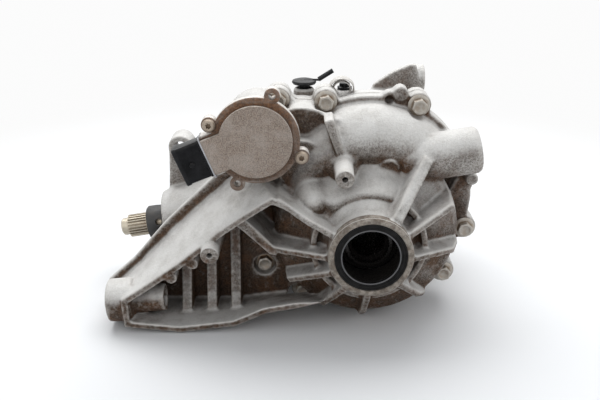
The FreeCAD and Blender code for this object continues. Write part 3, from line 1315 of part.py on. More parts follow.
def make_dust_shield():
    """The pressed guard on the shaft in front of the nose, with windows round its skirt."""
    start = nose_end + 1.2
    disc = spline_start - 8
    cup = spun("shield_cup", [
        (start, shield_radius - 1.6), (start, shield_radius), (disc, shield_radius + 0.4),
        (spline_start - 2.5, shield_radius + 0.4), (spline_start - 2.5, shield_radius - 0.9),
        (spline_start - 1, shield_radius - 0.9), (spline_start - 1, shaft_journal + seat_gap),
        (disc, shaft_journal + seat_gap), (disc, shield_radius - 1.6),
    ], PINION)
    windows = []
    for number in range(4):
        outward = PINION.radial(90.0 * number + 20)
        windows.append(cylinder(f"shield_window_{number}", 3.2, 8,
                                PINION.point((start + disc) / 2, shield_radius - 4, 90.0 * number + 20),
                                Rotation(Vector(0, 0, 1), outward)))
    return finished("dust_shield", cut("shield_solid", cup, windows))


# The differential: case, cross pin and four bevel gears

side_module = size("side_gear_module", 3.0)
side_face = size("side_gear_face_width", 9.0)
spider_teeth = 10
side_teeth = 16
case_hollow = size("case_hollow_radius", 33.0)
case_half = size("case_hollow_half", 30.3)
sleeve_radius = size("sleeve_radius", 21.0)
sleeve_bore = size("sleeve_bore_radius", 14.5)
sleeve_mouth = size("sleeve_mouth_radius", 17.4)
near_sleeve_y = size("near_sleeve_y", 26.0)
far_sleeve_y = size("far_sleeve_y", 226.0)
cross_pin_radius = size("cross_pin_radius", 7.0)
drum_radius = size("drum_radius", 58.0)
drum_wall = size("drum_wall", 4.5)
drum_y = size("drum_y", 76.0)
drum_end_y = size("drum_end_y", 111.0)
near_trunnion_y = size("near_trunnion_y", 33.0)
trunnion_bore = sleeve_radius + 0.4
spider_cone_angle = math.atan(spider_teeth / side_teeth)
side_cone_angle = math.atan(side_teeth / spider_teeth)


def make_case():
    low = crossing_y - case_half
    high = crossing_y + case_half
    body = spun("case_blank", [
        (drum_end_y, trunnion_bore), (drum_end_y, drum_radius), (drum_end_y + 7, drum_radius),
        (drum_end_y + 10, case_radius), (ring_seat_y, case_radius),
        (ring_seat_y, ring_bolt_reach + 10), (ring_seat_y + 10, ring_bolt_reach + 10),
        (ring_seat_y + 10, trunnion_radius + 4), (far_bearing_y, trunnion_radius + 4),
        (far_bearing_y, trunnion_radius), (far_bearing_y + carrier_width + 4, trunnion_radius),
        (far_bearing_y + carrier_width + 4, trunnion_bore), (high, trunnion_bore),
        (high, case_hollow), (low, case_hollow), (low, trunnion_bore),
    ], OUTPUT)
    tools = [cylinder("case_pin_hole", cross_pin_radius + seat_gap, 120, (0, crossing_y, -60), ALONG_Z)]
    for number in range(ring_bolt_count):
        x, z = polar(output_axis, ring_bolt_reach, 360.0 * number / ring_bolt_count + 180 + roll.value)
        tools.append(cylinder(f"case_bolt_hole_{number}", bolt_radius + 0.25, 12, (x, ring_seat_y - 1, z)))
    windows = cylinder("case_window", 17, 120, (-60, crossing_y, 0), ALONG_X)
    return finished("differential_case", cut("case_body", cut("case_open", body, windows), tools))


def make_cross_pin():
    pin = cylinder("cross_pin_solid", cross_pin_radius, case_radius * 2 - 1,
                   (0, crossing_y, 0.5 - case_radius), ALONG_Z)
    return finished("cross_pin", pin)


def make_side_gear(name, direction, sleeve_end):
    """A side gear with its long splined sleeve; direction is -1 for near and 1 for far."""
    reach = direction * (dim(sleeve_end).value - crossing_y.value)
    back = case_half.value - 1.3

    def extra(root_inner, root_outer):
        radius = sleeve_radius.value
        return [
            (root_inner[0], sleeve_bore.value), root_inner, root_outer,
            (back, root_outer[1] + 0.5), (back, radius), (reach - 1, radius), (reach, radius - 1),
            (reach, sleeve_mouth.value), (reach - 5, sleeve_mouth.value), (reach - 8, sleeve_bore.value),
        ]

    straight = [0.0, 0.0]
    shape = bevel_gear(side_teeth, side_module.value, side_cone_angle, math.pi / side_teeth,
                       side_face.value, straight, 0.75, 1.1, tooth_slack.value, extra)
    along = Vector(0, direction, 0)
    up = Vector(0, 0, 1)
    frame = Rotation(along, up, along.cross(up), "XYZ")
    place = FreeCAD.Placement(Vector(0, crossing_y.value, 0), frame)
    return finished(name, carved(f"{name}_solid", shape, place))


def make_spider(name, direction):
    def extra(root_inner, root_outer):
        bore = cross_pin_radius.value + running_gap.value
        seat = case_hollow.value
        return [
            (root_inner[0], bore), root_inner, root_outer, (root_outer[0] + 2, root_outer[1] + 1),
            (seat - 4, 12.8), (seat - 2, 10), (seat - 2, bore),
        ]

    straight = [0.0, 0.0]
    shape = bevel_gear(spider_teeth, side_module.value, spider_cone_angle, 0.0, side_face.value,
                       straight, 0.75, 1.1, tooth_slack.value, extra)
    along = Vector(0, 0, direction)
    side = Vector(0, 1, 0)
    frame = Rotation(along, side, along.cross(side), "XYZ")
    place = FreeCAD.Placement(Vector(0, crossing_y.value, 0), frame)
    return finished(name, carved(f"{name}_solid", shape, place))


def make_side_washers():
    rings = []
    for name, start in (("near", crossing_y - case_half + 0.1), ("far", crossing_y + case_half - 1.1)):
        rings.append(spun(f"{name}_washer_ring", [
            (start, sleeve_radius + 0.3), (start, sleeve_radius + 8),
            (start + 1.0, sleeve_radius + 8), (start + 1.0, sleeve_radius + 0.3),
        ], OUTPUT))
    return finished("side_gear_washers", group("side_washer_set", rings))


# The clutch between case and near output

plate_pitch = size("plate_pitch", 2.1)
plate_thickness = size("plate_thickness", 1.8)
plates_y = size("plates_y", 89.5)
plate_pairs = 5
hub_radius = size("hub_radius", 34.0)
push_pin_reach = size("push_pin_reach", 39.0)
push_pin_radius = size("push_pin_radius", 3.4)
push_pin_count = 6
pressure_y = size("pressure_plate_y", 83.0)
thrust_y = size("thrust_bearing_y", 70.3)


def make_clutch_drum():
    shell = spun("drum_shell", [
        (near_trunnion_y, trunnion_bore), (near_trunnion_y, trunnion_radius),
        (drum_y, trunnion_radius), (drum_y, drum_radius - 1.5), (drum_y + 1.5, drum_radius),
        (drum_end_y, drum_radius), (drum_end_y, drum_radius - drum_wall),
        (drum_y + 6, drum_radius - drum_wall), (drum_y + 6, trunnion_bore),
    ], OUTPUT)
    holes = []
    for number in range(push_pin_count):
        x, z = polar(output_axis, push_pin_reach, 360.0 * number / push_pin_count)
        holes.append(cylinder(f"drum_hole_{number}", push_pin_radius + free_gap, 10, (x, drum_y - 2, z)))
    return finished("clutch_drum", cut("drum_body", shell, holes))


def make_clutch_hub():
    return finished("clutch_hub", spun("hub_solid", [
        (drum_y + 8, sleeve_radius + seat_gap), (drum_y + 8, sleeve_radius + 4),
        (plates_y - 1, sleeve_radius + 4), (plates_y - 1, hub_radius), (drum_end_y - 0.5, hub_radius),
        (drum_end_y - 0.5, sleeve_radius + seat_gap),
    ], OUTPUT))


def make_plates():
    steel = []
    friction = []
    inner_edge = hub_radius + 0.2
    outer_edge = drum_radius - drum_wall - 0.2
    for number in range(plate_pairs):
        start = plates_y + plate_pitch * (2 * number)
        steel.append(spun(f"steel_plate_{number}", [
            (start, hub_radius + 2), (start, outer_edge), (start + plate_thickness, outer_edge),
            (start + plate_thickness, hub_radius + 2),
        ], OUTPUT))
        start = start + plate_pitch
        friction.append(spun(f"friction_plate_{number}", [
            (start, inner_edge), (start, outer_edge - 1.5), (start + plate_thickness, outer_edge - 1.5),
            (start + plate_thickness, inner_edge),
        ], OUTPUT))
    finished("steel_plates", group("steel_plate_set", steel))
    finished("friction_plates", group("friction_plate_set", friction))


def make_pressure_plate():
    disc = spun("pressure_disc", [
        (pressure_y, hub_radius + 1.5), (pressure_y, drum_radius - drum_wall - 0.4),
        (pressure_y + 5, drum_radius - drum_wall - 0.4), (pressure_y + 5, hub_radius + 1.5),
    ], OUTPUT)
    pins = []
    start = thrust_y + 3.2
    for number in range(push_pin_count):
        x, z = polar(output_axis, push_pin_reach, 360.0 * number / push_pin_count)
        pins.append(cylinder(f"push_pin_{number}", push_pin_radius, pressure_y - start + 1, (x, start, z)))
    return finished("pressure_plate", joined("pressure_solid", [disc] + pins))


# The ball ramp that closes the clutch, turned through the gear train

ramp_y = size("ramp_ring_y", 54.3)
ramp_face_y = size("ramp_face_y", 62.0)
ramp_ball_y = size("ramp_ball_y", 63.2)
ramp_slide_y = size("ramp_slide_face_y", 64.4)
ramp_ball_reach = size("ramp_ball_reach", 35.0)
ramp_ball_radius = size("ramp_ball_radius", 3.5)
ramp_ball_count = 6
ramp_outer = size("ramp_outer_radius", 43.0)
ramp_inner = size("ramp_inner_radius", 27.5)
ramp_groove = size("ramp_groove_radius", 4.0)
sector_y = size("sector_y", 57.5)
sector_width = size("sector_width", 4.5)
sector_inner = size("sector_inner_radius", 41.0)
sector_first = -2
sector_last = 8


def idler_bearing_angle():
    return math.atan2(idler_axis[1].value, idler_axis[0].value)


def motor_bearing_angle():
    return math.atan2(motor_z.value - idler_axis[1].value, motor_x.value - idler_axis[0].value)


def make_ramp_turning():
    blank = spun("ramp_turning_blank", [
        (near_bearing_y + carrier_width + 0.8, ramp_inner),
        (near_bearing_y + carrier_width + 0.8, carrier_race_radius - running_gap),
        (ramp_y, carrier_race_radius - running_gap), (ramp_y, ramp_outer),
        (ramp_face_y, ramp_outer), (ramp_face_y, ramp_inner),
    ], OUTPUT)
    phase = idler_bearing_angle() + math.pi / sector_full_teeth
    edge = spur_points(sector_full_teeth, coarse_module.value, phase, sector_first, sector_last,
                       0.75, 1.15, tooth_slack.value)
    sector = carved("ramp_sector", spur_solid(edge, 0, 0, sector_y.value, sector_width.value,
                                              sector_inner.value))
    groove = torus("turning_groove", ramp_ball_reach, ramp_groove, (0, ramp_ball_y, 0))
    return finished("ramp_ring_turning", cut("ramp_turning", joined("ramp_with_sector", [blank, sector]), groove))


def make_ramp_sliding():
    blank = spun("ramp_sliding_blank", [
        (ramp_slide_y, ramp_inner), (ramp_slide_y, ramp_outer), (thrust_y - 0.3, ramp_outer),
        (thrust_y - 0.3, ramp_inner),
    ], OUTPUT)
    ears = []
    holes = []
    thickness = thrust_y - 0.3 - ramp_slide_y
    for number, angle in enumerate(guide_angles):
        x, z = polar(output_axis, guide_reach, angle)
        ears.append(cylinder(f"ramp_ear_{number}", guide_radius + 5, thickness, (x, ramp_slide_y, z)))
        holes.append(cylinder(f"ramp_ear_hole_{number}", guide_radius + running_gap, 20,
                              (x, ramp_slide_y - 5, z)))
    body = joined("ramp_with_ears", [blank] + ears)
    groove = torus("sliding_groove", ramp_ball_reach, ramp_groove, (0, ramp_ball_y, 0))
    return finished("ramp_ring_sliding", cut("ramp_sliding", body, holes + [groove]))


def make_ramp_small():
    balls = []
    pockets = []
    for number in range(ramp_ball_count):
        x, z = polar(output_axis, ramp_ball_reach, 360.0 * number / ramp_ball_count + 15)
        balls.append(ball(f"ramp_ball_{number}", ramp_ball_radius, (x, ramp_ball_y, z)))
        pockets.append(cylinder(f"cage_pocket_{number}", ramp_ball_radius + running_gap, 6,
                                (x, ramp_ball_y - 3, z)))
    finished("ramp_balls", group("ramp_ball_set", balls))
    cage = spun("cage_disc", [
        (ramp_ball_y - 0.4, ramp_inner + 1), (ramp_ball_y - 0.4, ramp_outer - 1),
        (ramp_ball_y + 0.4, ramp_outer - 1), (ramp_ball_y + 0.4, ramp_inner + 1),
    ], OUTPUT)
    finished("ramp_ball_cage", cut("cage_body", cage, pockets))
    finished("thrust_bearing", spun("thrust_ring", [
        (thrust_y, ramp_inner + 1), (thrust_y, ramp_outer), (thrust_y + 2.9, ramp_outer),
        (thrust_y + 2.9, ramp_inner + 1),
    ], OUTPUT))
    pins = []
    for number, angle in enumerate(guide_angles):
        x, z = polar(output_axis, guide_reach, angle)
        pins.append(cylinder(f"guide_pin_{number}", guide_radius, thrust_y + 2 - guide_y,
                             (x, guide_y + 0.2, z)))
    finished("ramp_guide_pins", group("guide_pin_set", pins))


idler_large_y = size("idler_large_gear_y", 67.3)
idler_large_width = size("idler_large_width", 4.5)


def make_idler():
    module = fine_module.value
    toward_motor = motor_bearing_angle()
    large = spur_points(idler_large_teeth, module, toward_motor + math.pi / idler_large_teeth, 0,
                        idler_large_teeth - 1, 0.75, 1.15, tooth_slack.value)
    toward_sector = idler_bearing_angle() + math.pi
    small = spur_points(idler_small_teeth, coarse_module.value, toward_sector, 0,
                        idler_small_teeth - 1, 0.8, 1.15, tooth_slack.value)
    x = idler_axis[0].value
    z = idler_axis[1].value
    small_y = sector_y.value - 0.6
    pieces = [
        spur_solid(small, x, z, small_y, idler_large_y.value - small_y + 0.1),
        spur_solid(large, x, z, idler_large_y.value, idler_large_width.value),
    ]
    bore = Part.makeCylinder(idler_pin_radius.value + running_gap.value, 60,
                             Vector(x, small_y - 5, z), Vector(0, 1, 0))
    gear = pieces[0].fuse(pieces[1]).cut(bore)
    finished("idler_gear", carved("idler_solid", gear))
    pin_end = split_y + 8
    finished("idler_pin", cylinder("idler_pin_solid", idler_pin_radius, pin_end - idler_boss_y + 3,
                                   (idler_axis[0], idler_boss_y - 3, idler_axis[1])))


# The actuator: motor housing, rotor, cover plate, connector

rotor_radius = size("rotor_radius", 17.0)
motor_shaft_radius = size("motor_shaft_radius", 3.5)
motor_wall = size("motor_wall", 3.0)
cap_radius = size("cap_raised_radius", 29.6)
motor_lug_reach = size("motor_lug_reach", 39.0)
motor_lug_radius = size("motor_lug_radius", 6.2)
motor_lug_angles = (69.7, 159.9, 246.9, -19.8)
screwed_lugs = (1, 3)
motor_screw_radius = size("motor_screw_radius", 2.5)
connector_lean = size("connector_lean", 22.0)
connector_length = size("connector_length", 24.0)
connector_width = size("connector_width", 33.0)
connector_depth = size("connector_depth", 17.0)
connector_reach = size("connector_reach", 41.5)
connector_y = size("connector_y", 21.0)
connector_wall = size("connector_wall", 2.0)
connector_rise = size("connector_rise", 2.3)
socket_depth = size("connector_socket_depth", 15.0)


def motor_lugs(name, start, thickness, hole):
    lugs = []
    holes = []
    for number, angle in enumerate(motor_lug_angles):
        x, z = polar(motor_axis, motor_lug_reach, angle)
        lugs.append(cylinder(f"{name}_lug_{number}", motor_lug_radius, thickness, (x, start, z)))
        holes.append(cylinder(f"{name}_lug_hole_{number}", hole, thickness + 2, (x, start - 1, z)))
    return lugs, holes


def connector_frame():
    """Local X points out of the plug, local Y into the unit and local Z across it."""
    lean = math.radians(180 + connector_lean.value)
    out = Vector(math.cos(lean), 0, math.sin(lean))
    inward = Vector(0, 1, 0)
    return Rotation(out, inward, out.cross(inward), "XYZ")


def connector_point(along, across):
    """A point in x and z from the motor axis, out along the plug and across it."""
    lean = 180 + connector_lean
    across = dim(across) + connector_rise
    x = motor_x + dim(along) * cosine(lean) + across * sine(lean)
    z = motor_z + dim(along) * sine(lean) - across * cosine(lean)
    return x, z


def connector_block(name, along, length, depth_start, depth, width):
    x, z = connector_point(along, dim(width) / 2)
    return block(name, length, depth, width, (x, depth_start, z), connector_frame())


def make_actuator():
    face = motor_face_y + cap_height
    plate_y = motor_plate_y
    flange = motor_flange
    neck = connector_block("housing_neck", 20, connector_reach - 20, plate_y, flange + 6,
                           connector_width + 2)
    lugs, holes = motor_lugs("housing", plate_y, flange + 2, motor_screw_radius + seat_gap)
    body = joined("actuator_outer", [
        cylinder("actuator_flange", motor_flange_radius, flange, (motor_x, plate_y, motor_z)),
        cylinder("actuator_can", motor_can_radius, motor_can_length + 1,
                 (motor_x, plate_y + flange - 1, motor_z)),
        cone("actuator_taper", motor_can_radius, motor_nose_radius, motor_taper,
             (motor_x, motor_can_end, motor_z)),
        cylinder("actuator_nose", motor_nose_radius, motor_seat_y - plate_y - 8,
                 (motor_x, plate_y + 8, motor_z)),
        cylinder("actuator_spigot", spigot_radius, motor_seat_y - 6 - plate_y,
                 (motor_x, plate_y + 10, motor_z)),
        neck,
    ] + lugs)
    rotor_end = motor_seat_y - 5
    inside = spun("actuator_hollow", [
        (plate_y - 1, 0), (plate_y - 1, motor_can_radius - 6), (plate_y + 22, motor_can_radius - 6),
        (plate_y + 24, motor_nose_radius - motor_wall), (rotor_end, motor_nose_radius - motor_wall),
        (rotor_end, motor_shaft_radius + running_gap), (motor_seat_y + 6, motor_shaft_radius + running_gap),
        (motor_seat_y + 6, 0),
    ], MOTOR)
    finished("actuator_housing", cut("actuator_body", body, [inside] + holes))

    plateau = joined("cap_plateau", [
        cylinder("cap_disc", cap_radius, cap_height, (motor_x, motor_face_y, motor_z)),
        connector_block("cap_tongue_raised", 10, connector_reach - 11, motor_face_y, cap_height,
                        connector_width - 3),
    ])
    notches = []
    for angle in motor_lug_angles[1:3]:
        x, z = polar(motor_axis, motor_lug_reach, angle)
        notches.append(cylinder(f"cap_notch_{len(notches)}", motor_lug_radius + 2.6, cap_height + 1,
                                (x, motor_face_y - 1, z)))
    cap_lugs, cap_holes = motor_lugs("cap", face, cap_plate, motor_screw_radius + 0.3)
    cap = joined("cap_outer", [
        cut("cap_raised", plateau, notches),
        cylinder("cap_plate", motor_flange_radius, cap_plate, (motor_x, face, motor_z)),
        connector_block("cap_tongue", 20, connector_reach - 21, face, cap_plate, connector_width),
    ] + cap_lugs)
    cap_hollow = cylinder("cap_hollow", cap_radius - 2, 6, (motor_x, motor_face_y + 1.6, motor_z))
    bush = cylinder("cap_bush", 6, 6.5, (motor_x, motor_face_y + 1.5, motor_z))
    socket = cylinder("cap_socket", motor_shaft_radius + running_gap, 12,
                      (motor_x, motor_face_y + 2.5, motor_z))
    thin = joined("cap_thin", [cut("cap_shell", cap, cap_hollow), bush])
    finished("actuator_cover", cut("cap_body", thin, cap_holes + [socket]))

    screws = []
    for number in screwed_lugs:
        x, z = polar(motor_axis, motor_lug_reach, motor_lug_angles[number])
        screw = joined(f"cap_screw_{number}_solid", [
            cylinder(f"cap_screw_{number}_shank", motor_screw_radius, 10, (x, face - 0.5, z)),
            cylinder(f"cap_screw_{number}_rim", 5.3, 1.2, (x, face - 1.2, z)),
            cone(f"cap_screw_{number}_head", 3.6, 5.3, 2, (x, face - 3.2, z)),
        ])
        key = prism(f"cap_screw_{number}_key", 6, 2.4, 2.4, (x, face - 3.7, z))
        screws.append(cut(f"cap_screw_{number}", screw, key))
    finished("actuator_screws", group("cap_screw_set", screws))

    rotor = spun("rotor_solid", [
        (motor_face_y + 3, 0), (motor_face_y + 3, motor_shaft_radius),
        (motor_face_y + 12, motor_shaft_radius), (motor_face_y + 12, rotor_radius),
        (rotor_end - 3, rotor_radius), (rotor_end - 3, motor_shaft_radius),
        (idler_large_y + 6, motor_shaft_radius), (idler_large_y + 6, 0),
    ], MOTOR)
    edge = spur_points(motor_teeth, fine_module.value, motor_bearing_angle() + math.pi, 0,
                       motor_teeth - 1, 0.85, 1.1, tooth_slack.value)
    pinion = carved("motor_pinion", spur_solid(edge, motor_x.value, motor_z.value,
                                               idler_large_y.value - 0.6, idler_large_width.value + 1.2))
    finished("motor_rotor", joined("rotor_with_pinion", [rotor, pinion]))
    finished("motor_magnets", spun("magnet_ring", [
        (plate_y + 2, rotor_radius + 0.8), (plate_y + 2, motor_can_radius - 6 - seat_gap),
        (plate_y + 20, motor_can_radius - 6 - seat_gap), (plate_y + 20, rotor_radius + 0.8),
    ], MOTOR))


def make_connector():
    depth = connector_depth
    width = connector_width
    shroud = connector_block("shroud", connector_reach, connector_length, connector_y, depth, width)
    inner_width = width - connector_wall * 2
    socket = connector_block("shroud_socket", connector_reach + connector_length - socket_depth,
                             socket_depth + 1,
                             connector_y + connector_wall, depth - connector_wall * 2, inner_width)
    peg_x, peg_z = connector_point(connector_reach + 11, 1)
    peg = cylinder("shroud_peg", 2.4, 2.2, (peg_x, connector_y - 1.6, peg_z))
    rib_a = connector_block("shroud_rib_a", connector_reach, connector_length - 4, connector_y + depth - 1,
                            2.6, 4)
    body = joined("shroud_outer", [shroud, peg, rib_a])
    finished("actuator_connector", cut("connector_body", body, socket))
    pins = []
    for column in range(4):
        for row in range(2):
            across = (column - 1.5) * 6.0
            x, z = connector_point(connector_reach + connector_length - socket_depth, across - 0.5)
            pins.append(block(f"pin_{column}_{row}", 7, 1, 1,
                              (x, connector_y + 5.5 + row * 5.0, z), connector_frame()))
    finished("connector_pins", group("connector_pin_set", pins))


# Breather and the broken-off fitting beside it

breather_height = size("breather_height", 21.0)
breather_disc = size("breather_disc_radius", 11.0)


def make_breather():
    top = vent_top + breather_height
    disc = breather_disc
    body = turned("breather_body", [
        (vent_top - 12, 0), (vent_top - 12, vent_radius - seat_gap), (vent_top, vent_radius - seat_gap),
        (vent_top, 6), (vent_top + 3, 6), (vent_top + 4, 4.5), (top - 5, 4.5), (top - 4, disc - 1),
        (top - 2.5, disc), (top - 1, disc - 0.6), (top, disc - 4), (top, 0),
    ], (vent_x, vent_y, 0), Rotation(Vector(1, 0, 0), Vector(0, 0, 1)))
    neck = cylinder("breather_neck", 1.0, disc + 4, (vent_x, vent_y, top - 0.6), ALONG_X)
    lean = Rotation(Vector(0, 0, 1), Vector(12.2, 0, 7.8))
    tail = cylinder("breather_tail", 2.1, 15, (vent_x + disc + 2, vent_y, top - 0.2), lean)
    return finished("breather", joined("breather_solid", [body, neck, tail]))


def make_fitting():
    body = turned("fitting_body", [
        (sensor_top - 10, 0), (sensor_top - 10, vent_radius - seat_gap), (sensor_top, vent_radius - seat_gap),
        (sensor_top, 6.5), (sensor_top + 2, 6.5), (sensor_top + 2.6, 5), (sensor_top + 5.4, 4.6),
        (sensor_top + 6, 3.4), (sensor_top + 6, 0),
    ], (sensor_x, sensor_y, 0), Rotation(Vector(1, 0, 0), Vector(0, 0, 1)))
    return finished("top_fitting", body)


def make_everything():
    make_side_cover()
    make_main_housing()
    make_gasket()
    make_cover_bolts()
    make_dowels()
    make_plugs()
    output_seal("near_output_seal", dim(0), 1)
    output_seal("far_output_seal", far_face_y - 1.5, -1)
    roller_bearing("near_carrier", OUTPUT, near_bearing_y, carrier_width, trunnion_radius,
                   carrier_race_radius, 1)
    roller_bearing("far_carrier", OUTPUT, far_bearing_y, carrier_width, trunnion_radius,
                   carrier_race_radius, -1)
    roller_bearing("pinion_head", PINION, head_bearing_at, head_bearing_width, head_journal_radius,
                   head_race_radius, -1)
    roller_bearing("pinion_tail", PINION, tail_bearing_at, tail_bearing_width, tail_journal_radius,
                   tail_race_radius, 1)
    make_ring_gear()
    make_ring_bolts()
    make_pinion()
    make_pinion_trim()
    make_dust_shield()
    make_case()
    make_cross_pin()
    make_side_gear("near_side_gear", -1, near_sleeve_y)
    make_side_gear("far_side_gear", 1, far_sleeve_y)
    make_spider("upper_spider_gear", 1)
    make_spider("lower_spider_gear", -1)
    make_side_washers()
    make_clutch_drum()
    make_clutch_hub()
    make_plates()
    make_pressure_plate()
    make_ramp_turning()
    make_ramp_sliding()
    make_ramp_small()
    make_idler()
    make_actuator()
    make_connector()
    make_breather()
    make_fitting()


def check_and_write():
    document.recompute()
    faults = [thing.Name for thing in document.Objects
              if "Invalid" in thing.State or "Error" in thing.State]
    for thing in sub_parts:
        if thing.Shape.isNull() or not thing.Shape.isValid() or not thing.Shape.Solids:
            faults.append(thing.Label)
    if faults:
        raise RuntimeError("these did not build: " + ", ".join(faults))
    os.makedirs("parts", exist_ok=True)
    for thing in sub_parts:
        thing.Shape.exportStep(f"parts/{thing.Label}.step")
        print(thing.Label, len(thing.Shape.Solids), "solids", round(thing.Shape.Volume), "mm3")


make_everything()
check_and_write()
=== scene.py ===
# %% [markdown]
# # A rear differential on a pale floor
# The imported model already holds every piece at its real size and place. This lesson dresses it: it
# rounds the sand castings, gives each metal its own finish and builds the small pieces whose shape
# carries the likeness. Every length is in metres, in the frame that the model uses.

import math

import bmesh
import bpy
import numpy as np
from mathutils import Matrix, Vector


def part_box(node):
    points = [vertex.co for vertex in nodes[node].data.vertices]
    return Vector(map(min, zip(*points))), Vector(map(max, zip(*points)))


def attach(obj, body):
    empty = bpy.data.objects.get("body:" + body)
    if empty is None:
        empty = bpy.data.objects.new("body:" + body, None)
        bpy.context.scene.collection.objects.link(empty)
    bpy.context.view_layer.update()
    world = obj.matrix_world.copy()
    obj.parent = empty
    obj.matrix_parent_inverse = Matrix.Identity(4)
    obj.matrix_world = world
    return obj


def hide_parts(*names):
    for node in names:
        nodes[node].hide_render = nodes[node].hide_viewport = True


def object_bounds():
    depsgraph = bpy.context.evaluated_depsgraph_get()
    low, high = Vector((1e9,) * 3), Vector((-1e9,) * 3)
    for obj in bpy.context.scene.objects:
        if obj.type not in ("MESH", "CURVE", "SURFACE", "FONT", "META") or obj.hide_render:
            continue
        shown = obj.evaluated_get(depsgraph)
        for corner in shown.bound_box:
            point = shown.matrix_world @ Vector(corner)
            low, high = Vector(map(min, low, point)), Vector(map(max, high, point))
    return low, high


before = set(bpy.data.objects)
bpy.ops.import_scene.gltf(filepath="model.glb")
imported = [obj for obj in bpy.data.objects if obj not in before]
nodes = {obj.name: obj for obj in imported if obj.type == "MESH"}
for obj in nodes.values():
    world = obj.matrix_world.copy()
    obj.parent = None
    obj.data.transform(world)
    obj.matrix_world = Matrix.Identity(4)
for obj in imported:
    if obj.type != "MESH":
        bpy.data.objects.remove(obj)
cad_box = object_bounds()
print("model box", cad_box)

# %% [markdown]
# ## Camera
# The unit is seen from its near output side, a little from above. The camera has a normal lens of
# about 46 mm and stands some 60 cm away. It looks down by 22 degrees and isn't turned or rolled, which
# keeps the output hole nearly round.

# %% Camera
look_down = 22.0
camera_data = bpy.data.cameras.new("photo_camera")
camera_data.lens = 46.2
camera_data.sensor_width = 36.0
camera = bpy.data.objects.new("photo_camera", camera_data)
camera.location = (-0.05765, -0.55964, 0.27686)
camera.rotation_euler = (math.radians(90 - look_down), 0.0, 0.0)
bpy.context.scene.collection.objects.link(camera)
bpy.context.scene.camera = camera
bpy.context.scene.view_settings.view_transform = "Standard"
print("camera looks down", look_down, "degrees")

# %% [markdown]
# ## A short way to write shader nodes
# Every material below is a tree of nodes, and so is the world. Written out, each node takes a line for
# itself, one for every value and one for every link. A few helpers keep that readable: one adds a node
# and joins its inputs, and the others mix, stretch, multiply and measure with it. The last two start a
# node group and place it in a material.

# %% Shader helpers


def add(tree, kind, inputs=None, **settings):
    """Add a node; an input given as a socket is joined to it, anything else is its value."""
    made = tree.nodes.new(kind)
    for name, value in settings.items():
        setattr(made, name, value)
    for name, value in (inputs or {}).items():
        if isinstance(value, bpy.types.NodeSocket):
            tree.links.new(value, made.inputs[name])
        else:
            made.inputs[name].default_value = value
    return made


def mixed(tree, factor, first, second):
    """Mix two colours, each a socket or a plain colour."""
    first, second = (value if isinstance(value, bpy.types.NodeSocket) else (*value, 1)
                     for value in (first, second))
    return add(tree, "ShaderNodeMix", {0: factor, 6: first, 7: second}, data_type="RGBA").outputs[2]


def stretched(tree, value, low, high, start=0.0, end=1.0):
    """Map low..high smoothly onto start..end and hold the ends."""
    made = add(tree, "ShaderNodeMapRange",
               {"Value": value, "From Min": low, "From Max": high, "To Min": start, "To Max": end},
               interpolation_type="SMOOTHSTEP")
    return made.outputs[0]


def worked_out(tree, operation, first, second):
    """One step of arithmetic, held between 0 and 1."""
    made = add(tree, "ShaderNodeMath", {0: first, 1: second}, operation=operation, use_clamp=True)
    return made.outputs[0]


def times(tree, first, second):
    return worked_out(tree, "MULTIPLY", first, second)


def plus(tree, first, second):
    return worked_out(tree, "ADD", first, second)


def minus(tree, first, second):
    return worked_out(tree, "SUBTRACT", first, second)


def object_place(tree):
    """The shaded point, in the object's own frame."""
    return add(tree, "ShaderNodeTexCoord").outputs["Object"]


def component(tree, vector, letter):
    """One of a vector's three numbers."""
    return add(tree, "ShaderNodeSeparateXYZ", {"Vector": vector}).outputs[letter]


def from_output_axis(tree, place):
    """How far the shaded point lies from the axis of the outputs."""
    flat = add(tree, "ShaderNodeVectorMath", {0: place, 1: (1, 0, 1)}, operation="MULTIPLY").outputs[0]
    return add(tree, "ShaderNodeVectorMath", {0: flat}, operation="LENGTH").outputs["Value"]


def noise(tree, place, scale, detail=4.0, roughness=0.55, distortion=0.0):
    """Cloudy noise from 0 to 1, with scale in clouds per metre."""
    made = add(tree, "ShaderNodeTexNoise", {"Vector": place, "Scale": scale, "Detail": detail,
                                            "Roughness": roughness, "Distortion": distortion})
    return made.outputs["Fac"]


def effect(name, inputs, outputs):
    """Start a shader node group with named float inputs and named outputs."""
    tree = bpy.data.node_groups.new(name, "ShaderNodeTree")
    for title, value in inputs.items():
        socket = tree.interface.new_socket(name=title, in_out="INPUT", socket_type="NodeSocketFloat")
        socket.default_value = value
    for title, kind in outputs.items():
        tree.interface.new_socket(name=title, in_out="OUTPUT", socket_type=kind)
    given = tree.nodes.new("NodeGroupInput")
    result = tree.nodes.new("NodeGroupOutput")
    return tree, given.outputs, result.inputs


def placed(tree, group, **values):
    """Put a group into a material with its own values."""
    return add(tree, "ShaderNodeGroup", values, node_tree=group).outputs


print("helpers ready")

# %% [markdown]
# ## Floor, backdrop and light
# The photographed light comes from a large pale window above and behind the unit: the tops of the
# castings are nearly white and the side that faces the camera lies in soft shade. One wide lamp
# overhead and behind does that, a weaker one fills from the front left, and the world gives the rest.
# The floor keeps its shadow near the unit, and further out the camera sees it fade into the backdrop.

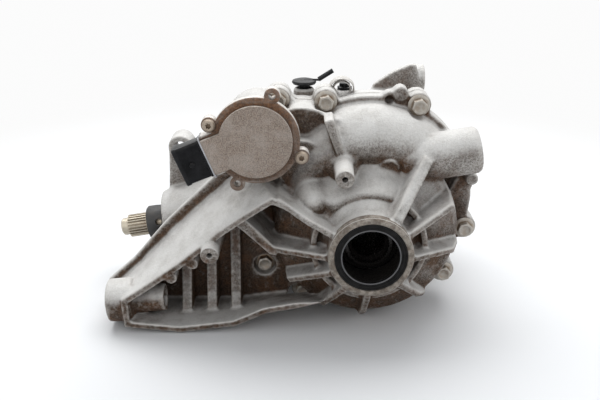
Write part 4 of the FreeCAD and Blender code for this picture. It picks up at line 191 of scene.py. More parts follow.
# %% Floor
floor_z = cad_box[0][2] - 0.0002
floor_half = 6.0
under_unit = (-0.06, 0.1, 0)
fade_starts, fade_ends = 0.30, 0.75
backdrop_white = (0.97, 0.97, 0.97, 1)
floor_mesh = bpy.data.meshes.new("floor")
floor_corners = [(x * floor_half, y * floor_half, 0) for x, y in ((-1, -1), (1, -1), (1, 1), (-1, 1))]
floor_mesh.from_pydata(floor_corners, [], [(0, 1, 2, 3)])
floor = bpy.data.objects.new("floor", floor_mesh)
floor.location.z = floor_z
bpy.context.scene.collection.objects.link(floor)
floor_paint = bpy.data.materials.new("pale_floor")
floor_paint.use_nodes = True
floor_shader = floor_paint.node_tree.nodes["Principled BSDF"]
floor_shader.inputs["Base Color"].default_value = (0.80, 0.81, 0.82, 1)
floor_shader.inputs["Roughness"].default_value = 0.7
floor_shader.inputs["Specular IOR Level"].default_value = 0.25
floor_tree = floor_paint.node_tree
from_unit = add(floor_tree, "ShaderNodeVectorMath", {0: object_place(floor_tree), 1: under_unit},
                operation="DISTANCE").outputs["Value"]
fade = stretched(floor_tree, from_unit, fade_starts, fade_ends)
floor_ray = add(floor_tree, "ShaderNodeLightPath").outputs["Is Camera Ray"]
far_white = add(floor_tree, "ShaderNodeEmission", {"Color": backdrop_white}).outputs[0]
floor_mix = add(floor_tree, "ShaderNodeMixShader",
                {0: times(floor_tree, fade, floor_ray), 1: floor_shader.outputs[0], 2: far_white})
floor_tree.links.new(floor_mix.outputs[0], floor_tree.nodes["Material Output"].inputs["Surface"])
floor_mesh.materials.append(floor_paint)
print("floor at", round(floor_z, 4))

# %% World and lamps
world = bpy.data.worlds.new("soft_room")
bpy.context.scene.world = world
world.use_nodes = True
world_tree = world.node_tree
world_tree.nodes.clear()
room_light = add(world_tree, "ShaderNodeBackground", {"Color": (0.95, 0.97, 1.0, 1), "Strength": 0.55})
room_seen = add(world_tree, "ShaderNodeBackground", {"Color": backdrop_white})
ray = add(world_tree, "ShaderNodeLightPath").outputs
seen_or_mirrored = plus(world_tree, ray["Is Camera Ray"], ray["Is Glossy Ray"])
all_seen = plus(world_tree, seen_or_mirrored, ray["Is Transmission Ray"])
room_mix = add(world_tree, "ShaderNodeMixShader",
               {0: all_seen, 1: room_light.outputs[0], 2: room_seen.outputs[0]})
add(world_tree, "ShaderNodeOutputWorld", {0: room_mix.outputs[0]})


def soft_lamp(name, place, target, width, height, power, colour=(1, 1, 1)):
    """A rectangular lamp that faces a point."""
    data = bpy.data.lights.new(name, "AREA")
    data.shape = "RECTANGLE"
    data.size = width
    data.size_y = height
    data.energy = power
    data.color = colour
    lamp = bpy.data.objects.new(name, data)
    lamp.location = place
    lamp.rotation_euler = (Vector(target) - Vector(place)).to_track_quat("-Z", "Y").to_euler()
    bpy.context.scene.collection.objects.link(lamp)
    print(name, power, "W")


soft_lamp("window_above", (-0.1, 0.75, 1.25), (-0.05, 0.08, 0), width=1.8, height=1.2, power=24)
soft_lamp("front_fill", (-0.9, -1.2, 0.8), (-0.05, 0.05, 0), width=1.2, height=1.0, power=3.5,
          colour=(1.0, 0.99, 0.97))
soft_lamp("right_fill", (1.2, -0.4, 0.6), (0, 0.08, 0), width=0.8, height=0.8, power=3)

# %% [markdown]
# ## Shared effects
# Old castings show the same few things everywhere: a pebbled skin from the sand mould, grime in the
# hollows, bare metal on the edges, pale dust on what faces up and brown bloom where salt water sat. The
# finishes also paint shade into the hollows and where little light reaches. Each is one node group, so
# that all materials age in the same way. A group only gives masks, heights and colours. The shader stays
# in each material.

# %% Casting skin


def make_casting_skin():
    """Pebbles and grit as a height, fine speckle and wide blotches as masks."""
    tree, given, result = effect("casting_skin", {"Grain": 1.0}, {
        "Height": "NodeSocketFloat", "Speckle": "NodeSocketFloat", "Blotch": "NodeSocketFloat"})
    place = add(tree, "ShaderNodeTexCoord").outputs["Object"]
    pebbles = add(tree, "ShaderNodeTexVoronoi", {"Vector": place, "Scale": 950.0}, feature="SMOOTH_F1")
    grit = noise(tree, place, 1500.0, 3.0, 0.65)
    waves = noise(tree, place, 130.0, 3.0, 0.5)
    pebble_height = stretched(tree, pebbles.outputs["Distance"], 0.0, 0.7, 1.0, 0.0)
    fine = times(tree, times(tree, pebble_height, grit), given["Grain"])
    height = plus(tree, times(tree, fine, 0.45), times(tree, waves, 0.5))
    tree.links.new(height, result["Height"])
    spots = noise(tree, place, 620.0, 4.0, 0.75)
    speckle = plus(tree, times(tree, spots, 0.7), times(tree, grit, 0.3))
    tree.links.new(stretched(tree, speckle, 0.43, 0.60), result["Speckle"])
    blotches = noise(tree, place, 26.0, 6.0, 0.62, 0.6)
    tree.links.new(stretched(tree, blotches, 0.38, 0.62), result["Blotch"])
    return tree


casting_skin = make_casting_skin()
print("effect", casting_skin.name)

# %% Edges and hollows


def make_edges_and_hollows():
    """Masks for sharp edges, for creases and for whatever little light reaches."""
    tree, given, result = effect("edges_and_hollows", {"Reach": 0.06, "Depth": 0.02}, {
        "Edge": "NodeSocketFloat", "Hollow": "NodeSocketFloat", "Shelter": "NodeSocketFloat"})
    sharp = add(tree, "ShaderNodeNewGeometry").outputs["Pointiness"]
    place = add(tree, "ShaderNodeTexCoord").outputs["Object"]
    ragged = stretched(tree, noise(tree, place, 260.0, 4.0, 0.7), 0.25, 0.75, -0.02, 0.02)
    bent = add(tree, "ShaderNodeMath", {0: sharp, 1: ragged}, operation="ADD").outputs[0]
    above = add(tree, "ShaderNodeMath", {0: given["Reach"], 1: 0.5}, operation="ADD").outputs[0]
    below = add(tree, "ShaderNodeMath", {0: 0.5, 1: given["Reach"]}, operation="SUBTRACT").outputs[0]
    edge = add(tree, "ShaderNodeMapRange", {"Value": bent, "From Min": 0.505, "From Max": above})
    hollow = add(tree, "ShaderNodeMapRange", {"Value": bent, "From Min": 0.495, "From Max": below})
    tree.links.new(edge.outputs[0], result["Edge"])
    tree.links.new(hollow.outputs[0], result["Hollow"])
    # How little light reaches a point; the finishes paint shade with it.
    open_sky = add(tree, "ShaderNodeAmbientOcclusion", {"Distance": given["Depth"]}, samples=6)
    tree.links.new(stretched(tree, open_sky.outputs["AO"], 0.86, 0.34), result["Shelter"])
    return tree


edges_and_hollows = make_edges_and_hollows()
print("effect", edges_and_hollows.name)

# %% Dust on what faces up


def make_settled_dust():
    """How far a face looks up, and the patchy dust on it."""
    tree, given, result = effect("settled_dust", {"Amount": 1.0}, {
        "Up": "NodeSocketFloat", "Dust": "NodeSocketFloat"})
    up = component(tree, add(tree, "ShaderNodeNewGeometry").outputs["Normal"], "Z")
    place = add(tree, "ShaderNodeTexCoord").outputs["Object"]
    patchy = stretched(tree, noise(tree, place, 70.0, 5.0, 0.6), 0.3, 0.62, 0.35, 1.0)
    facing = stretched(tree, up, 0.05, 0.65)
    tree.links.new(facing, result["Up"])
    dust = times(tree, times(tree, facing, patchy), given["Amount"])
    tree.links.new(dust, result["Dust"])
    return tree


settled_dust = make_settled_dust()
print("effect", settled_dust.name)

# %% Rust bloom


def make_rust_bloom():
    """Clouds of rust with their own colours."""
    tree, given, result = effect("rust_bloom", {"Spread": 0.5, "Size": 60.0}, {
        "Mask": "NodeSocketFloat", "Color": "NodeSocketColor"})
    place = add(tree, "ShaderNodeTexCoord").outputs["Object"]
    cloud = noise(tree, place, given["Size"], 8.0, 0.68, 0.8)
    low = add(tree, "ShaderNodeMath", {0: 0.78, 1: given["Spread"]}, operation="SUBTRACT").outputs[0]
    high = add(tree, "ShaderNodeMath", {0: low, 1: 0.16}, operation="ADD").outputs[0]
    mask = add(tree, "ShaderNodeMapRange", {"Value": cloud, "From Min": low, "From Max": high})
    tree.links.new(mask.outputs[0], result["Mask"])
    tint = stretched(tree, noise(tree, place, 420.0, 4.0, 0.6), 0.3, 0.7)
    tree.links.new(mixed(tree, tint, (0.085, 0.034, 0.013), (0.36, 0.15, 0.05)), result["Color"])
    return tree


rust_bloom = make_rust_bloom()
print("effect", rust_bloom.name)

# %% [markdown]
# ## Finishes
# A finish is one function that makes one material. Real parts of the same metal still differ: the
# near casting has salt grime and more painted shade on its face, and the can of the motor was never
# near the road. The functions take the few numbers that differ. This first one starts a material, and
# its partner joins the colour, the roughness and the bump to the shader.

# %% A base for every finish


def start_finish(name, metallic, specular=0.5):
    """A material with its Principled shader, ready for its colour, roughness and bump."""
    paint = bpy.data.materials.new(name)
    paint.use_nodes = True
    shader = paint.node_tree.nodes["Principled BSDF"]
    shader.inputs["Metallic"].default_value = metallic
    shader.inputs["Specular IOR Level"].default_value = specular
    return paint, paint.node_tree, shader


def surfaced(tree, shader, colour, roughness, height, depth, strength=0.6):
    """Join a colour, a roughness and a height to the shader, the height through a Bump node."""
    bump = add(tree, "ShaderNodeBump", {"Height": height, "Strength": strength, "Distance": depth})
    for socket, value in (("Base Color", colour), ("Roughness", roughness), ("Normal", bump.outputs[0])):
        tree.links.new(value, shader.inputs[socket])


print("finish base ready")

# %% [markdown]
# ## Weathered cast aluminium
# The castings are nearly white on top and speckled by grit. In their hollows and on faces that don't
# look up, more so low down, they are brown: painted shade mixed with grime. Painting that by hand
# would tie it to one mesh. Here each layer is a mask from the shape or from its height above the floor,
# laid over the one before: painted shade with grime, rust, dust and worn edges. Inside the output bore
# the metal is painted near black, for oil and for the shade deep in the bore.

# %% Weathered cast aluminium
bore_rim, bore_inside = 0.0308, 0.0302


def weathered_casting(name, shade_and_grime, darker_below, pale=(0.60, 0.59, 0.565)):
    """Pale where it faces up; brown painted shade with grime and speckle in its hollows and on its sides.
    """
    paint, tree, shader = start_finish(name, 0.12, 0.3)
    skin = placed(tree, casting_skin, Grain=1.0)
    shape = placed(tree, edges_and_hollows, Reach=0.055, Depth=0.05)
    dust = placed(tree, settled_dust, Amount=1.0)
    bloom = placed(tree, rust_bloom, Spread=0.34, Size=55.0)
    place = object_place(tree)
    # Painted shade: faces that don't look up are darkened, more so low down and in blotches.
    low = stretched(tree, component(tree, place, "Z"), darker_below, darker_below - 0.07)
    shaded = minus(tree, 1.0, dust["Up"])
    low_and_blotchy = plus(tree, times(tree, low, 0.42), times(tree, skin["Blotch"], 0.38))
    side_shade = times(tree, shaded, plus(tree, low_and_blotchy, 0.30))
    # Painted shade with grime in creases and where little light reaches.
    hollow_grime_and_shade = plus(tree, times(tree, shape["Hollow"], 0.4), times(tree, shape["Shelter"], 0.85))
    dirt_and_shade = times(tree, plus(tree, side_shade, hollow_grime_and_shade), shade_and_grime)
    grey = mixed(tree, times(tree, skin["Blotch"], 0.5), pale, (0.40, 0.385, 0.36))
    # The dark speckle is stronger on faces that don't look up, partly as painted shade.
    side_speckle = times(tree, skin["Speckle"], plus(tree, times(tree, shaded, 0.60), 0.22))
    speckled = mixed(tree, side_speckle, grey, (0.15, 0.125, 0.105))
    # The brown that the painted shade and grime darken towards.
    grime_and_shade_brown = mixed(tree, skin["Speckle"], (0.085, 0.056, 0.038), (0.032, 0.020, 0.013))
    grimed_and_shaded = mixed(tree, dirt_and_shade, speckled, grime_and_shade_brown)
    rust = mixed(tree, 0.65, bloom["Color"], (0.075, 0.040, 0.022))
    rusted = mixed(tree, times(tree, bloom["Mask"], times(tree, dirt_and_shade, 0.45)), grimed_and_shaded, rust)
    dusted = mixed(tree, times(tree, dust["Dust"], 0.6), rusted, (0.70, 0.695, 0.68))
    worn = mixed(tree, times(tree, shape["Edge"], 0.62), dusted, (0.58, 0.555, 0.52))
    # Painted near black inside the bore: oil, and the shade deep in the bore.
    in_bore = stretched(tree, from_output_axis(tree, place), bore_rim, bore_inside)
    colour = mixed(tree, in_bore, worn, (0.012, 0.010, 0.009))
    rough = stretched(tree, skin["Speckle"], 0.0, 1.0, 0.55, 0.8)
    surfaced(tree, shader, colour, rough, skin["Height"], 0.0011, 0.8)
    return paint


near_casting_finish = weathered_casting("near_casting", 1.0, 0.055)
far_casting_finish = weathered_casting("far_casting", 0.75, 0.02, (0.66, 0.65, 0.625))
print("castings", near_casting_finish.name, far_casting_finish.name)

# %% [markdown]
# ## Plain metals
# Bolts, gears, bearings and the motor's can differ in colour, gloss, dirt and painted shade, and not in
# kind. One function with those few numbers makes them all, which is shorter than a material for each
# and keeps them alike.

# %% Plain metals


def worked_metal(name, colour, roughness, metallic=0.85, stain=0.3, dirt_and_shade=(0.16, 0.11, 0.07), shade_and_grime=0.0):
    """Machined or plated metal with stains, fine scratches, grime and painted shade in hollows, and edges
    lightened by wear and painted highlight.
    """
    paint, tree, shader = start_finish(name, metallic)
    place = object_place(tree)
    shape = placed(tree, edges_and_hollows, Reach=0.08, Depth=0.006)
    cloud = stretched(tree, noise(tree, place, 170.0, 6.0, 0.65), 0.4, 0.7)
    soiled = mixed(tree, times(tree, cloud, stain), colour, dirt_and_shade)
    # Grime and painted shade in creases and where little light reaches.
    hollow_grime_and_shade = plus(tree, times(tree, shape["Hollow"], 0.6), times(tree, shape["Shelter"], shade_and_grime))
    deeper = mixed(tree, hollow_grime_and_shade, soiled, dirt_and_shade)
    # Edges lightened, part wear and part painted highlight.
    worn_and_highlit = [min(1.0, channel * 1.35) for channel in colour]
    worn = mixed(tree, times(tree, shape["Edge"], 0.5), deeper, worn_and_highlit)
    fine = noise(tree, place, 700.0, 4.0, 0.7)
    rough = stretched(tree, fine, 0.3, 0.7, roughness - 0.08, roughness + 0.12)
    surfaced(tree, shader, worn, rough, fine, 0.00012, 0.35)
    return paint


zinc_finish = worked_metal("zinc_plated_steel", (0.42, 0.395, 0.355), 0.4, 0.45, 0.45,
                           (0.20, 0.12, 0.06), 0.6)
machined_finish = worked_metal("machined_steel", (0.55, 0.55, 0.54), 0.3, 0.95, 0.12)
gear_finish = worked_metal("gear_steel", (0.42, 0.40, 0.37), 0.34, 0.95, 0.2)
spline_finish = worked_metal("oiled_spline_steel", (0.50, 0.455, 0.37), 0.4, 0.7, 0.3, shade_and_grime=0.6)
bearing_finish = worked_metal("bearing_steel", (0.66, 0.66, 0.66), 0.2, 1.0, 0.08)
iron_finish = worked_metal("turned_iron", (0.20, 0.19, 0.18), 0.45, 0.8, 0.2)
dark_bolt_finish = worked_metal("dark_bolt_steel", (0.10, 0.10, 0.10), 0.42, 0.8, 0.2)
can_finish = worked_metal("can_aluminium", (0.62, 0.60, 0.57), 0.42, 0.4, 0.35, (0.20, 0.15, 0.11), 0.6)
guard_finish = worked_metal("black_guard_steel", (0.045, 0.045, 0.045), 0.5, 0.3, 0.3, (0.12, 0.10, 0.08))
screw_finish = worked_metal("dull_screw_steel", (0.36, 0.30, 0.24), 0.5, 0.5, 0.5, shade_and_grime=0.8)
# Near black for oil, and as painted shade on the parts deep behind the near seal.
oil_and_shade_black = (0.008, 0.007, 0.006)
oily_shaded_bore_finish = worked_metal("oily_shaded_bore_steel", (0.016, 0.014, 0.013), 0.2, 0.45, 0.3, oil_and_shade_black)
# The lip ring's lighter metal-grey stands partly for wear and partly for a painted glint.
lip_glint_finish = worked_metal("seal_lip_painted_glint", (0.12, 0.12, 0.125), 0.35, 0.6, 0.2, (0.03, 0.03, 0.03))
brass_finish = worked_metal("brass", (0.66, 0.48, 0.22), 0.3, 0.95, 0.12)
friction_finish = worked_metal("friction_lining", (0.16, 0.12, 0.085), 0.8, 0.1, 0.3)
rotor_finish = worked_metal("rotor_steel", (0.34, 0.30, 0.27), 0.4, 0.8, 0.25)
magnet_finish = worked_metal("magnet", (0.09, 0.09, 0.10), 0.55, 0.3, 0.2)
print("plain metals ready")

# %% [markdown]
# ## Rubber and plastic
# The seal, the breather and the plug are black, and what tells them apart is their gloss. A low
# specular level keeps the seal dull, and the plug stays dark with sharp highlights.

# %% Rubber and plastic


def dark_polymer(name, colour, roughness, dust_amount, specular=0.4):
    """Moulded black rubber or plastic with a dusty upper side."""
    paint, tree, shader = start_finish(name, 0.0, specular)
    place = object_place(tree)
    dust = placed(tree, settled_dust, Amount=dust_amount)
    shape = placed(tree, edges_and_hollows, Reach=0.1)
    fine = noise(tree, place, 900.0, 3.0, 0.6)
    faded = [channel * 2.2 + 0.004 for channel in colour]
    rubbed = [channel * 3.0 + 0.03 for channel in colour]
    mottled = mixed(tree, stretched(tree, noise(tree, place, 120.0, 5.0, 0.6), 0.35, 0.7), colour, faded)
    scuffed = mixed(tree, times(tree, shape["Edge"], 0.35), mottled, rubbed)
    dusty = mixed(tree, times(tree, dust["Dust"], 0.4), scuffed, (0.30, 0.28, 0.25))
    rough = stretched(tree, fine, 0.3, 0.7, roughness - 0.06, roughness + 0.1)
    surfaced(tree, shader, dusty, plus(tree, rough, times(tree, dust["Dust"], 0.2)), fine, 0.00008, 0.3)
    return paint


seal_finish = dark_polymer("seal_rubber", (0.0045, 0.0042, 0.0042), 0.5, 0.0, specular=0.16)
gasket_finish = dark_polymer("gasket_fibre", (0.05, 0.05, 0.05), 0.7, 0.3)
breather_finish = dark_polymer("breather_rubber", (0.007, 0.0075, 0.0085), 0.35, 0.06, specular=0.2)
grey_rubber_finish = dark_polymer("grey_rubber", (0.20, 0.20, 0.21), 0.55, 0.4)
plug_finish = dark_polymer("plug_plastic", (0.0035, 0.0035, 0.0042), 0.18, 0.06, specular=0.14)
print("polymers ready")

# %% [markdown]
# ## The stamped cover plate
# The motor's cover has a raised middle with a grey-brown speckle, a wall round it painted pale as a
# highlight and a dark brown rim, which carries a little orange rust high up. Its hollows take painted
# shade with grime. Three materials on three sets of faces would meet in hard lines. One material that
# reads the depth along y and the way a face looks has soft ones.

# %% Stamped cover plate
plate_step = 0.004


def rusted_plate(name, top):
    """Speckled on the raised part, with a painted highlight on its wall, brown on the rim with rust high
    up, and painted shade with grime in its hollows.
    """
    paint, tree, shader = start_finish(name, 0.35, 0.4)
    place = object_place(tree)
    rim = stretched(tree, component(tree, place, "Y"), top + plate_step * 0.55, top + plate_step * 0.9)
    facing = component(tree, add(tree, "ShaderNodeNewGeometry").outputs["Normal"], "Y")
    wall = times(tree, stretched(tree, facing, -0.85, -0.3), minus(tree, 1.0, rim))
    bloom = placed(tree, rust_bloom, Spread=0.46, Size=75.0)
    speckle = stretched(tree, noise(tree, place, 1000.0, 3.0, 0.7), 0.42, 0.6)
    grey = mixed(tree, speckle, (0.30, 0.25, 0.21), (0.14, 0.105, 0.082))
    clouds = stretched(tree, noise(tree, place, 48.0, 5.0, 0.6), 0.4, 0.66, 0.0, 0.5)
    cloudy = mixed(tree, clouds, grey, (0.40, 0.36, 0.32))
    rim_metal = mixed(tree, speckle, (0.115, 0.082, 0.062), (0.05, 0.035, 0.027))
    stepped = mixed(tree, rim, cloudy, rim_metal)
    high_up = stretched(tree, component(tree, place, "Z"), 0.078, 0.112, 0.12, 0.6)
    rim_rust = times(tree, times(tree, rim, bloom["Mask"]), high_up)
    rust_amount = plus(tree, times(tree, bloom["Mask"], 0.14), times(tree, rim_rust, 0.8))
    rust = mixed(tree, 0.35, bloom["Color"], (0.10, 0.062, 0.042))
    rusty = mixed(tree, rust_amount, stepped, rust)
    # Painted highlight: the wall round the raised part is lightened all round.
    painted_lit_wall = mixed(tree, times(tree, wall, 0.8), rusty, (0.66, 0.61, 0.55))
    shape = placed(tree, edges_and_hollows, Reach=0.08, Depth=0.006)
    # Painted shade with grime where little light reaches.
    soiled = mixed(tree, times(tree, shape["Shelter"], 0.6), painted_lit_wall, (0.05, 0.032, 0.022))
    worn = mixed(tree, times(tree, shape["Edge"], 0.35), soiled, (0.55, 0.50, 0.45))
    rough = stretched(tree, speckle, 0.0, 1.0, 0.48, 0.72)
    bumps = plus(tree, times(tree, speckle, 0.5), times(tree, bloom["Mask"], 0.4))
    surfaced(tree, shader, worn, rough, bumps, 0.0002, 0.5)
    return paint


cover_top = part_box("actuator_cover")[0][1]
cover_finish = rusted_plate("rusted_cover_plate", cover_top)
print("cover plate faces out at y", round(cover_top, 4))

# %% [markdown]
# ## The rusty machined face
# The face round the output seal was cut on a lathe, so it carries fine rings under thin brown rust.
# The rings could be modelled, but they are far finer than the mesh. A sine of the distance from the
# axis gives them as bump, with one ring every 0.7 mm.

# %% Rusty machined face
radians_per_metre = 9000.0


def rusty_machined(name):
    """The turned face round the output seal: machining rings under thin brown rust."""
    paint, tree, shader = start_finish(name, 0.45, 0.4)
    place = object_place(tree)
    turning = add(tree, "ShaderNodeMath", {0: from_output_axis(tree, place), 1: radians_per_metre},
                  operation="MULTIPLY").outputs[0]
    rings = add(tree, "ShaderNodeMath", {0: turning}, operation="SINE").outputs[0]
    bloom = placed(tree, rust_bloom, Spread=0.52, Size=110.0)
    clouds = stretched(tree, noise(tree, place, 220.0, 6.0, 0.7), 0.35, 0.65)
    base = mixed(tree, clouds, (0.15, 0.132, 0.112), (0.36, 0.34, 0.305))
    colour = mixed(tree, times(tree, bloom["Mask"], 0.1), base, bloom["Color"])
    rough = stretched(tree, bloom["Mask"], 0.0, 1.0, 0.42, 0.7)
    surfaced(tree, shader, colour, rough, plus(tree, times(tree, rings, 0.3), bloom["Mask"]), 0.00015)
    return paint


bore_face_finish = rusty_machined("rusty_bore_face")
print("bore face ready")

# %% [markdown]
# ## Cast skins
# The model's castings have the sharp edges of their solids, and a sand casting has none: every inner
# corner holds a fillet of a few millimetres. Bevelling hundreds of crossing edges fails, so each
# casting is copied, rebuilt on a fine voxel grid, which joins its ribs into one skin, and then
# relaxed. The relaxing rounds both inner and outer corners, as the mould does. The turned ring at an
# output was cut after casting, so it takes only a fifth of the relaxing and stays nearly sharp.

# %% Copy, round and dress
boss_radius = 0.035
ring_share = 0.2


def own_mesh(node):
    """A welded copy of a node's mesh, free to be changed."""
    mesh = nodes[node].data.copy()
    work = bmesh.new()
    work.from_mesh(mesh)
    bmesh.ops.remove_doubles(work, verts=work.verts, dist=2e-6)
    work.to_mesh(mesh)
    work.free()
    return mesh


def settle(piece):
    """Replace a piece's mesh by the one its modifiers make."""
    depsgraph = bpy.context.evaluated_depsgraph_get()
    mesh = bpy.data.meshes.new_from_object(piece.evaluated_get(depsgraph))
    piece.modifiers.clear()
    piece.data = mesh


def add_piece(name, mesh, body, finish):
    """Link a piece, ride it on a body and give it its finish."""
    piece = bpy.data.objects.new(name, mesh)
    bpy.context.scene.collection.objects.link(piece)
    mesh.materials.clear()
    mesh.materials.append(finish)
    for face in mesh.polygons:
        face.use_smooth = True
    mesh.set_sharp_from_angle(angle=math.radians(40))
    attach(piece, body)
    return piece


def points_of(piece):
    """The piece's points as an array with three columns."""
    points = np.empty(len(piece.data.vertices) * 3)
    piece.data.vertices.foreach_get("co", points)
    return points.reshape(-1, 3)


def cast_skin(node, voxel, ring_span, finish, moved=None):
    """Round a casting; ring_span is where its turned ring lies along y, and moved shifts its points."""
    piece = bpy.data.objects.new(f"{node}_skin", own_mesh(node))
    bpy.context.scene.collection.objects.link(piece)
    remesh = piece.modifiers.new("grid", "REMESH")
    remesh.mode = "VOXEL"
    remesh.voxel_size = voxel * 1
    settle(piece)
    x, y, z = points_of(piece).T
    ring = (np.hypot(x, z) < boss_radius + 0.0015) & (y > ring_span[0]) & (y < ring_span[1])
    group = piece.vertex_groups.new(name="as_cast")
    group.add(np.nonzero(~ring)[0].tolist(), 1.0, "REPLACE")
    group.add(np.nonzero(ring)[0].tolist(), ring_share, "REPLACE")
    relax = piece.modifiers.new("relax", "SMOOTH")
    relax.factor = 0.5
    relax.iterations = 7
    relax.vertex_group = "as_cast"
    settle(piece)
    if moved:
        piece.data.vertices.foreach_set("co", moved(points_of(piece)).ravel())
    piece.data.materials.clear()
    piece.data.materials.append(finish)
    for face in piece.data.polygons:
        face.use_smooth = True
    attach(piece, "casing")
    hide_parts(node)
    print(piece.name, len(piece.data.polygons), "faces")


# %% [markdown]
# ## The two castings
# The near casting carries the dome, the ribs and the arm. Its front also has a shallow dark band, a
# raised collar and a knuckle that the model's plain dome lacks. They could be carved with a brush, but
# a few smooth formulas that push points along the output axis are easier to read and to change. Where
# crisp rims are added later, the skin is drawn back a little to make room.

# %% The two castings
clip_bosses = ((-0.022, 0.009, 0.064), (-0.132, 0.008, -0.002))
band_radius, band_width, band_depth = 0.0635, 0.0080, 0.0062
collar_radius, collar_width, collar_height = 0.0465, 0.0055, 0.0036
knuckle_x, knuckle_z, knuckle_width, knuckle_height = -0.048, 0.034, 0.0125, 0.0050
band_begins, band_stops = (54, 68), (128, 142)
relief_fades = (0.056, 0.074)
rim_step, hole_step = (0.009, 0.0012), (0.0048, 0.0135)


def eased(values, low, high):
    """Rise smoothly from 0 at low to 1 at high."""
    share = np.clip((values - low) / (high - low), 0, 1)
    return share * share * (3 - 2 * share)


def hump(values, middle, width):
    """A smooth hump of height 1."""
    return np.exp(-((values - middle) / width) ** 2)


def near_front(points):
    """The relief of the dome's front, and room under the crisp rims."""
    x, y, z = points.T
    reach = np.hypot(x, z)
    turn = np.degrees(np.arctan2(z, x))
    upper = eased(turn, *band_begins) * (1 - eased(turn, *band_stops))
    boss_x, _, boss_z = clip_bosses[0]
    beside_boss = eased(np.hypot(x - boss_x, z - boss_z), 0.0095, 0.0160)
    from_knuckle = np.hypot(x - knuckle_x, z - knuckle_z)
    band = hump(reach, band_radius, band_width) * band_depth * eased(from_knuckle, 0.010, 0.022)
    collar = hump(reach, collar_radius, collar_width) * collar_height
    knuckle = hump(from_knuckle, 0, knuckle_width) * knuckle_height
    front = 1 - eased(y, *relief_fades)
    points[:, 1] += ((band - collar) * upper * beside_boss - knuckle) * front
    points[:, 1] = np.where((reach < boss_radius + 0.001) & (y < 0.0), 0.0002, points[:, 1])
    for centre_x, end, centre_z in clip_bosses:
        aside = np.hypot(x - centre_x, z - centre_z)
        for radius, depth in (rim_step, hole_step):
            points[:, 1] = np.where((aside < radius) & (y < end + depth), end + depth, points[:, 1])
    return points


cast_skin("side_cover", 0.0013, (-1, 0.014), near_casting_finish, near_front)
cast_skin("main_housing", 0.0015, (0.235, 1), far_casting_finish)

# %% [markdown]
# ## Shapes from rings
# Rims, bolts, seals and plugs are built from rings of points. One function joins the rings by faces,
# one turns a profile about an axis, and one rounds the corners of an outline first, so that no edge
# is knife sharp.

# %% Rings, profiles and rounded corners


def skin_rings(rings, looped=False):
    """Join rings of points by faces; the ends are closed, or joined to each other."""
    count = len(rings[0])
    faces = []
    for level in range(len(rings) if looped else len(rings) - 1):
        here, there = level * count, (level + 1) % len(rings) * count
        for k in range(count):
            after = (k + 1) % count
            faces.append((here + k, here + after, there + after, there + k))
    if not looped:
        last = (len(rings) - 1) * count
        faces += [tuple(reversed(range(count))), tuple(range(last, last + count))]
    mesh = bpy.data.meshes.new("rings")
    mesh.from_pydata([tuple(point) for ring in rings for point in ring], [], faces)
    work = bmesh.new()
    work.from_mesh(mesh)
    bmesh.ops.recalc_face_normals(work, faces=work.faces)
    work.to_mesh(mesh)
    work.free()
    return mesh


def rounded(outline, radius, steps=3):
    """Swap every corner of an outline for a short arc."""
    result = []
    for number, corner in enumerate(outline):
        corner = Vector(corner)
        back = Vector(outline[number - 1]) - corner
        on = Vector(outline[(number + 1) % len(outline)]) - corner
        reach = min(radius, back.length * 0.45, on.length * 0.45)
        start, end = corner + back.normalized() * reach, corner + on.normalized() * reach
        for step in range(steps + 1):
            share = step / steps
            result.append(tuple((start * (1 - share) + corner * share) * (1 - share)
                                + (corner * (1 - share) + end * share) * share))
    return result


def square_to(axis):
    """An axis and two directions square to it."""
    axis = Vector(axis).normalized()
    side = axis.orthogonal().normalized()
    return axis, side, axis.cross(side)


def turned_ring(centre, axis, station, radius, steps=72):
    """One ring round an axis; the radius is a number or depends on the angle."""
    axis, side, up = square_to(axis)
    ring = []
    for k in range(steps):
        angle = 2 * math.pi * k / steps
        reach = radius(angle) if callable(radius) else radius
        ring.append(Vector(centre) + axis * station
                    + (side * math.cos(angle) + up * math.sin(angle)) * reach)
    return ring


def lathe(profile, centre, axis=(0, 1, 0), looped=True, steps=72):
    """Turn a profile of station and radius about an axis."""
    return skin_rings([turned_ring(centre, axis, *point, steps) for point in profile], looped)


def gathered(meshes):
    """One mesh from several."""
    work = bmesh.new()
    for mesh in meshes:
        work.from_mesh(mesh)
    whole = bpy.data.meshes.new("gathered")
    work.to_mesh(whole)
    work.free()
    return whole


def islands(node):
    """The boxes of the separate solids in a node, as low and high corners."""
    work = bmesh.new()
    work.from_mesh(own_mesh(node))
    left = set(work.verts)
    boxes = []
    while left:
        group, edge_of = [], [left.pop()]
        while edge_of:
            vert = edge_of.pop()
            group.append(vert.co.copy())
            for edge in vert.link_edges:
                other = edge.other_vert(vert)
                if other in left:
                    left.remove(other)
                    edge_of.append(other)
        places = np.array(group)
        boxes.append((places.min(0), places.max(0)))
    work.free()
    return boxes


def seats(node, station):
    """The middles of a node's solids in x and z, at one place along y."""
    return [((low[0] + high[0]) / 2, station, (low[2] + high[2]) / 2) for low, high in islands(node)]


print("ring tools ready")

# %% [markdown]
# ## The output: turned ring, seal and dark bore
# The machined ring is the one crisp edge on the near casting. The seal inside it is black, with one
# lighter grey lip ring, part wear where the shaft has run and part painted glint. A voxel grid can't
# hold forms this fine, so both are turned from an outline, as on a lathe. Two small bosses with holes
# get crisp rims in the same way.

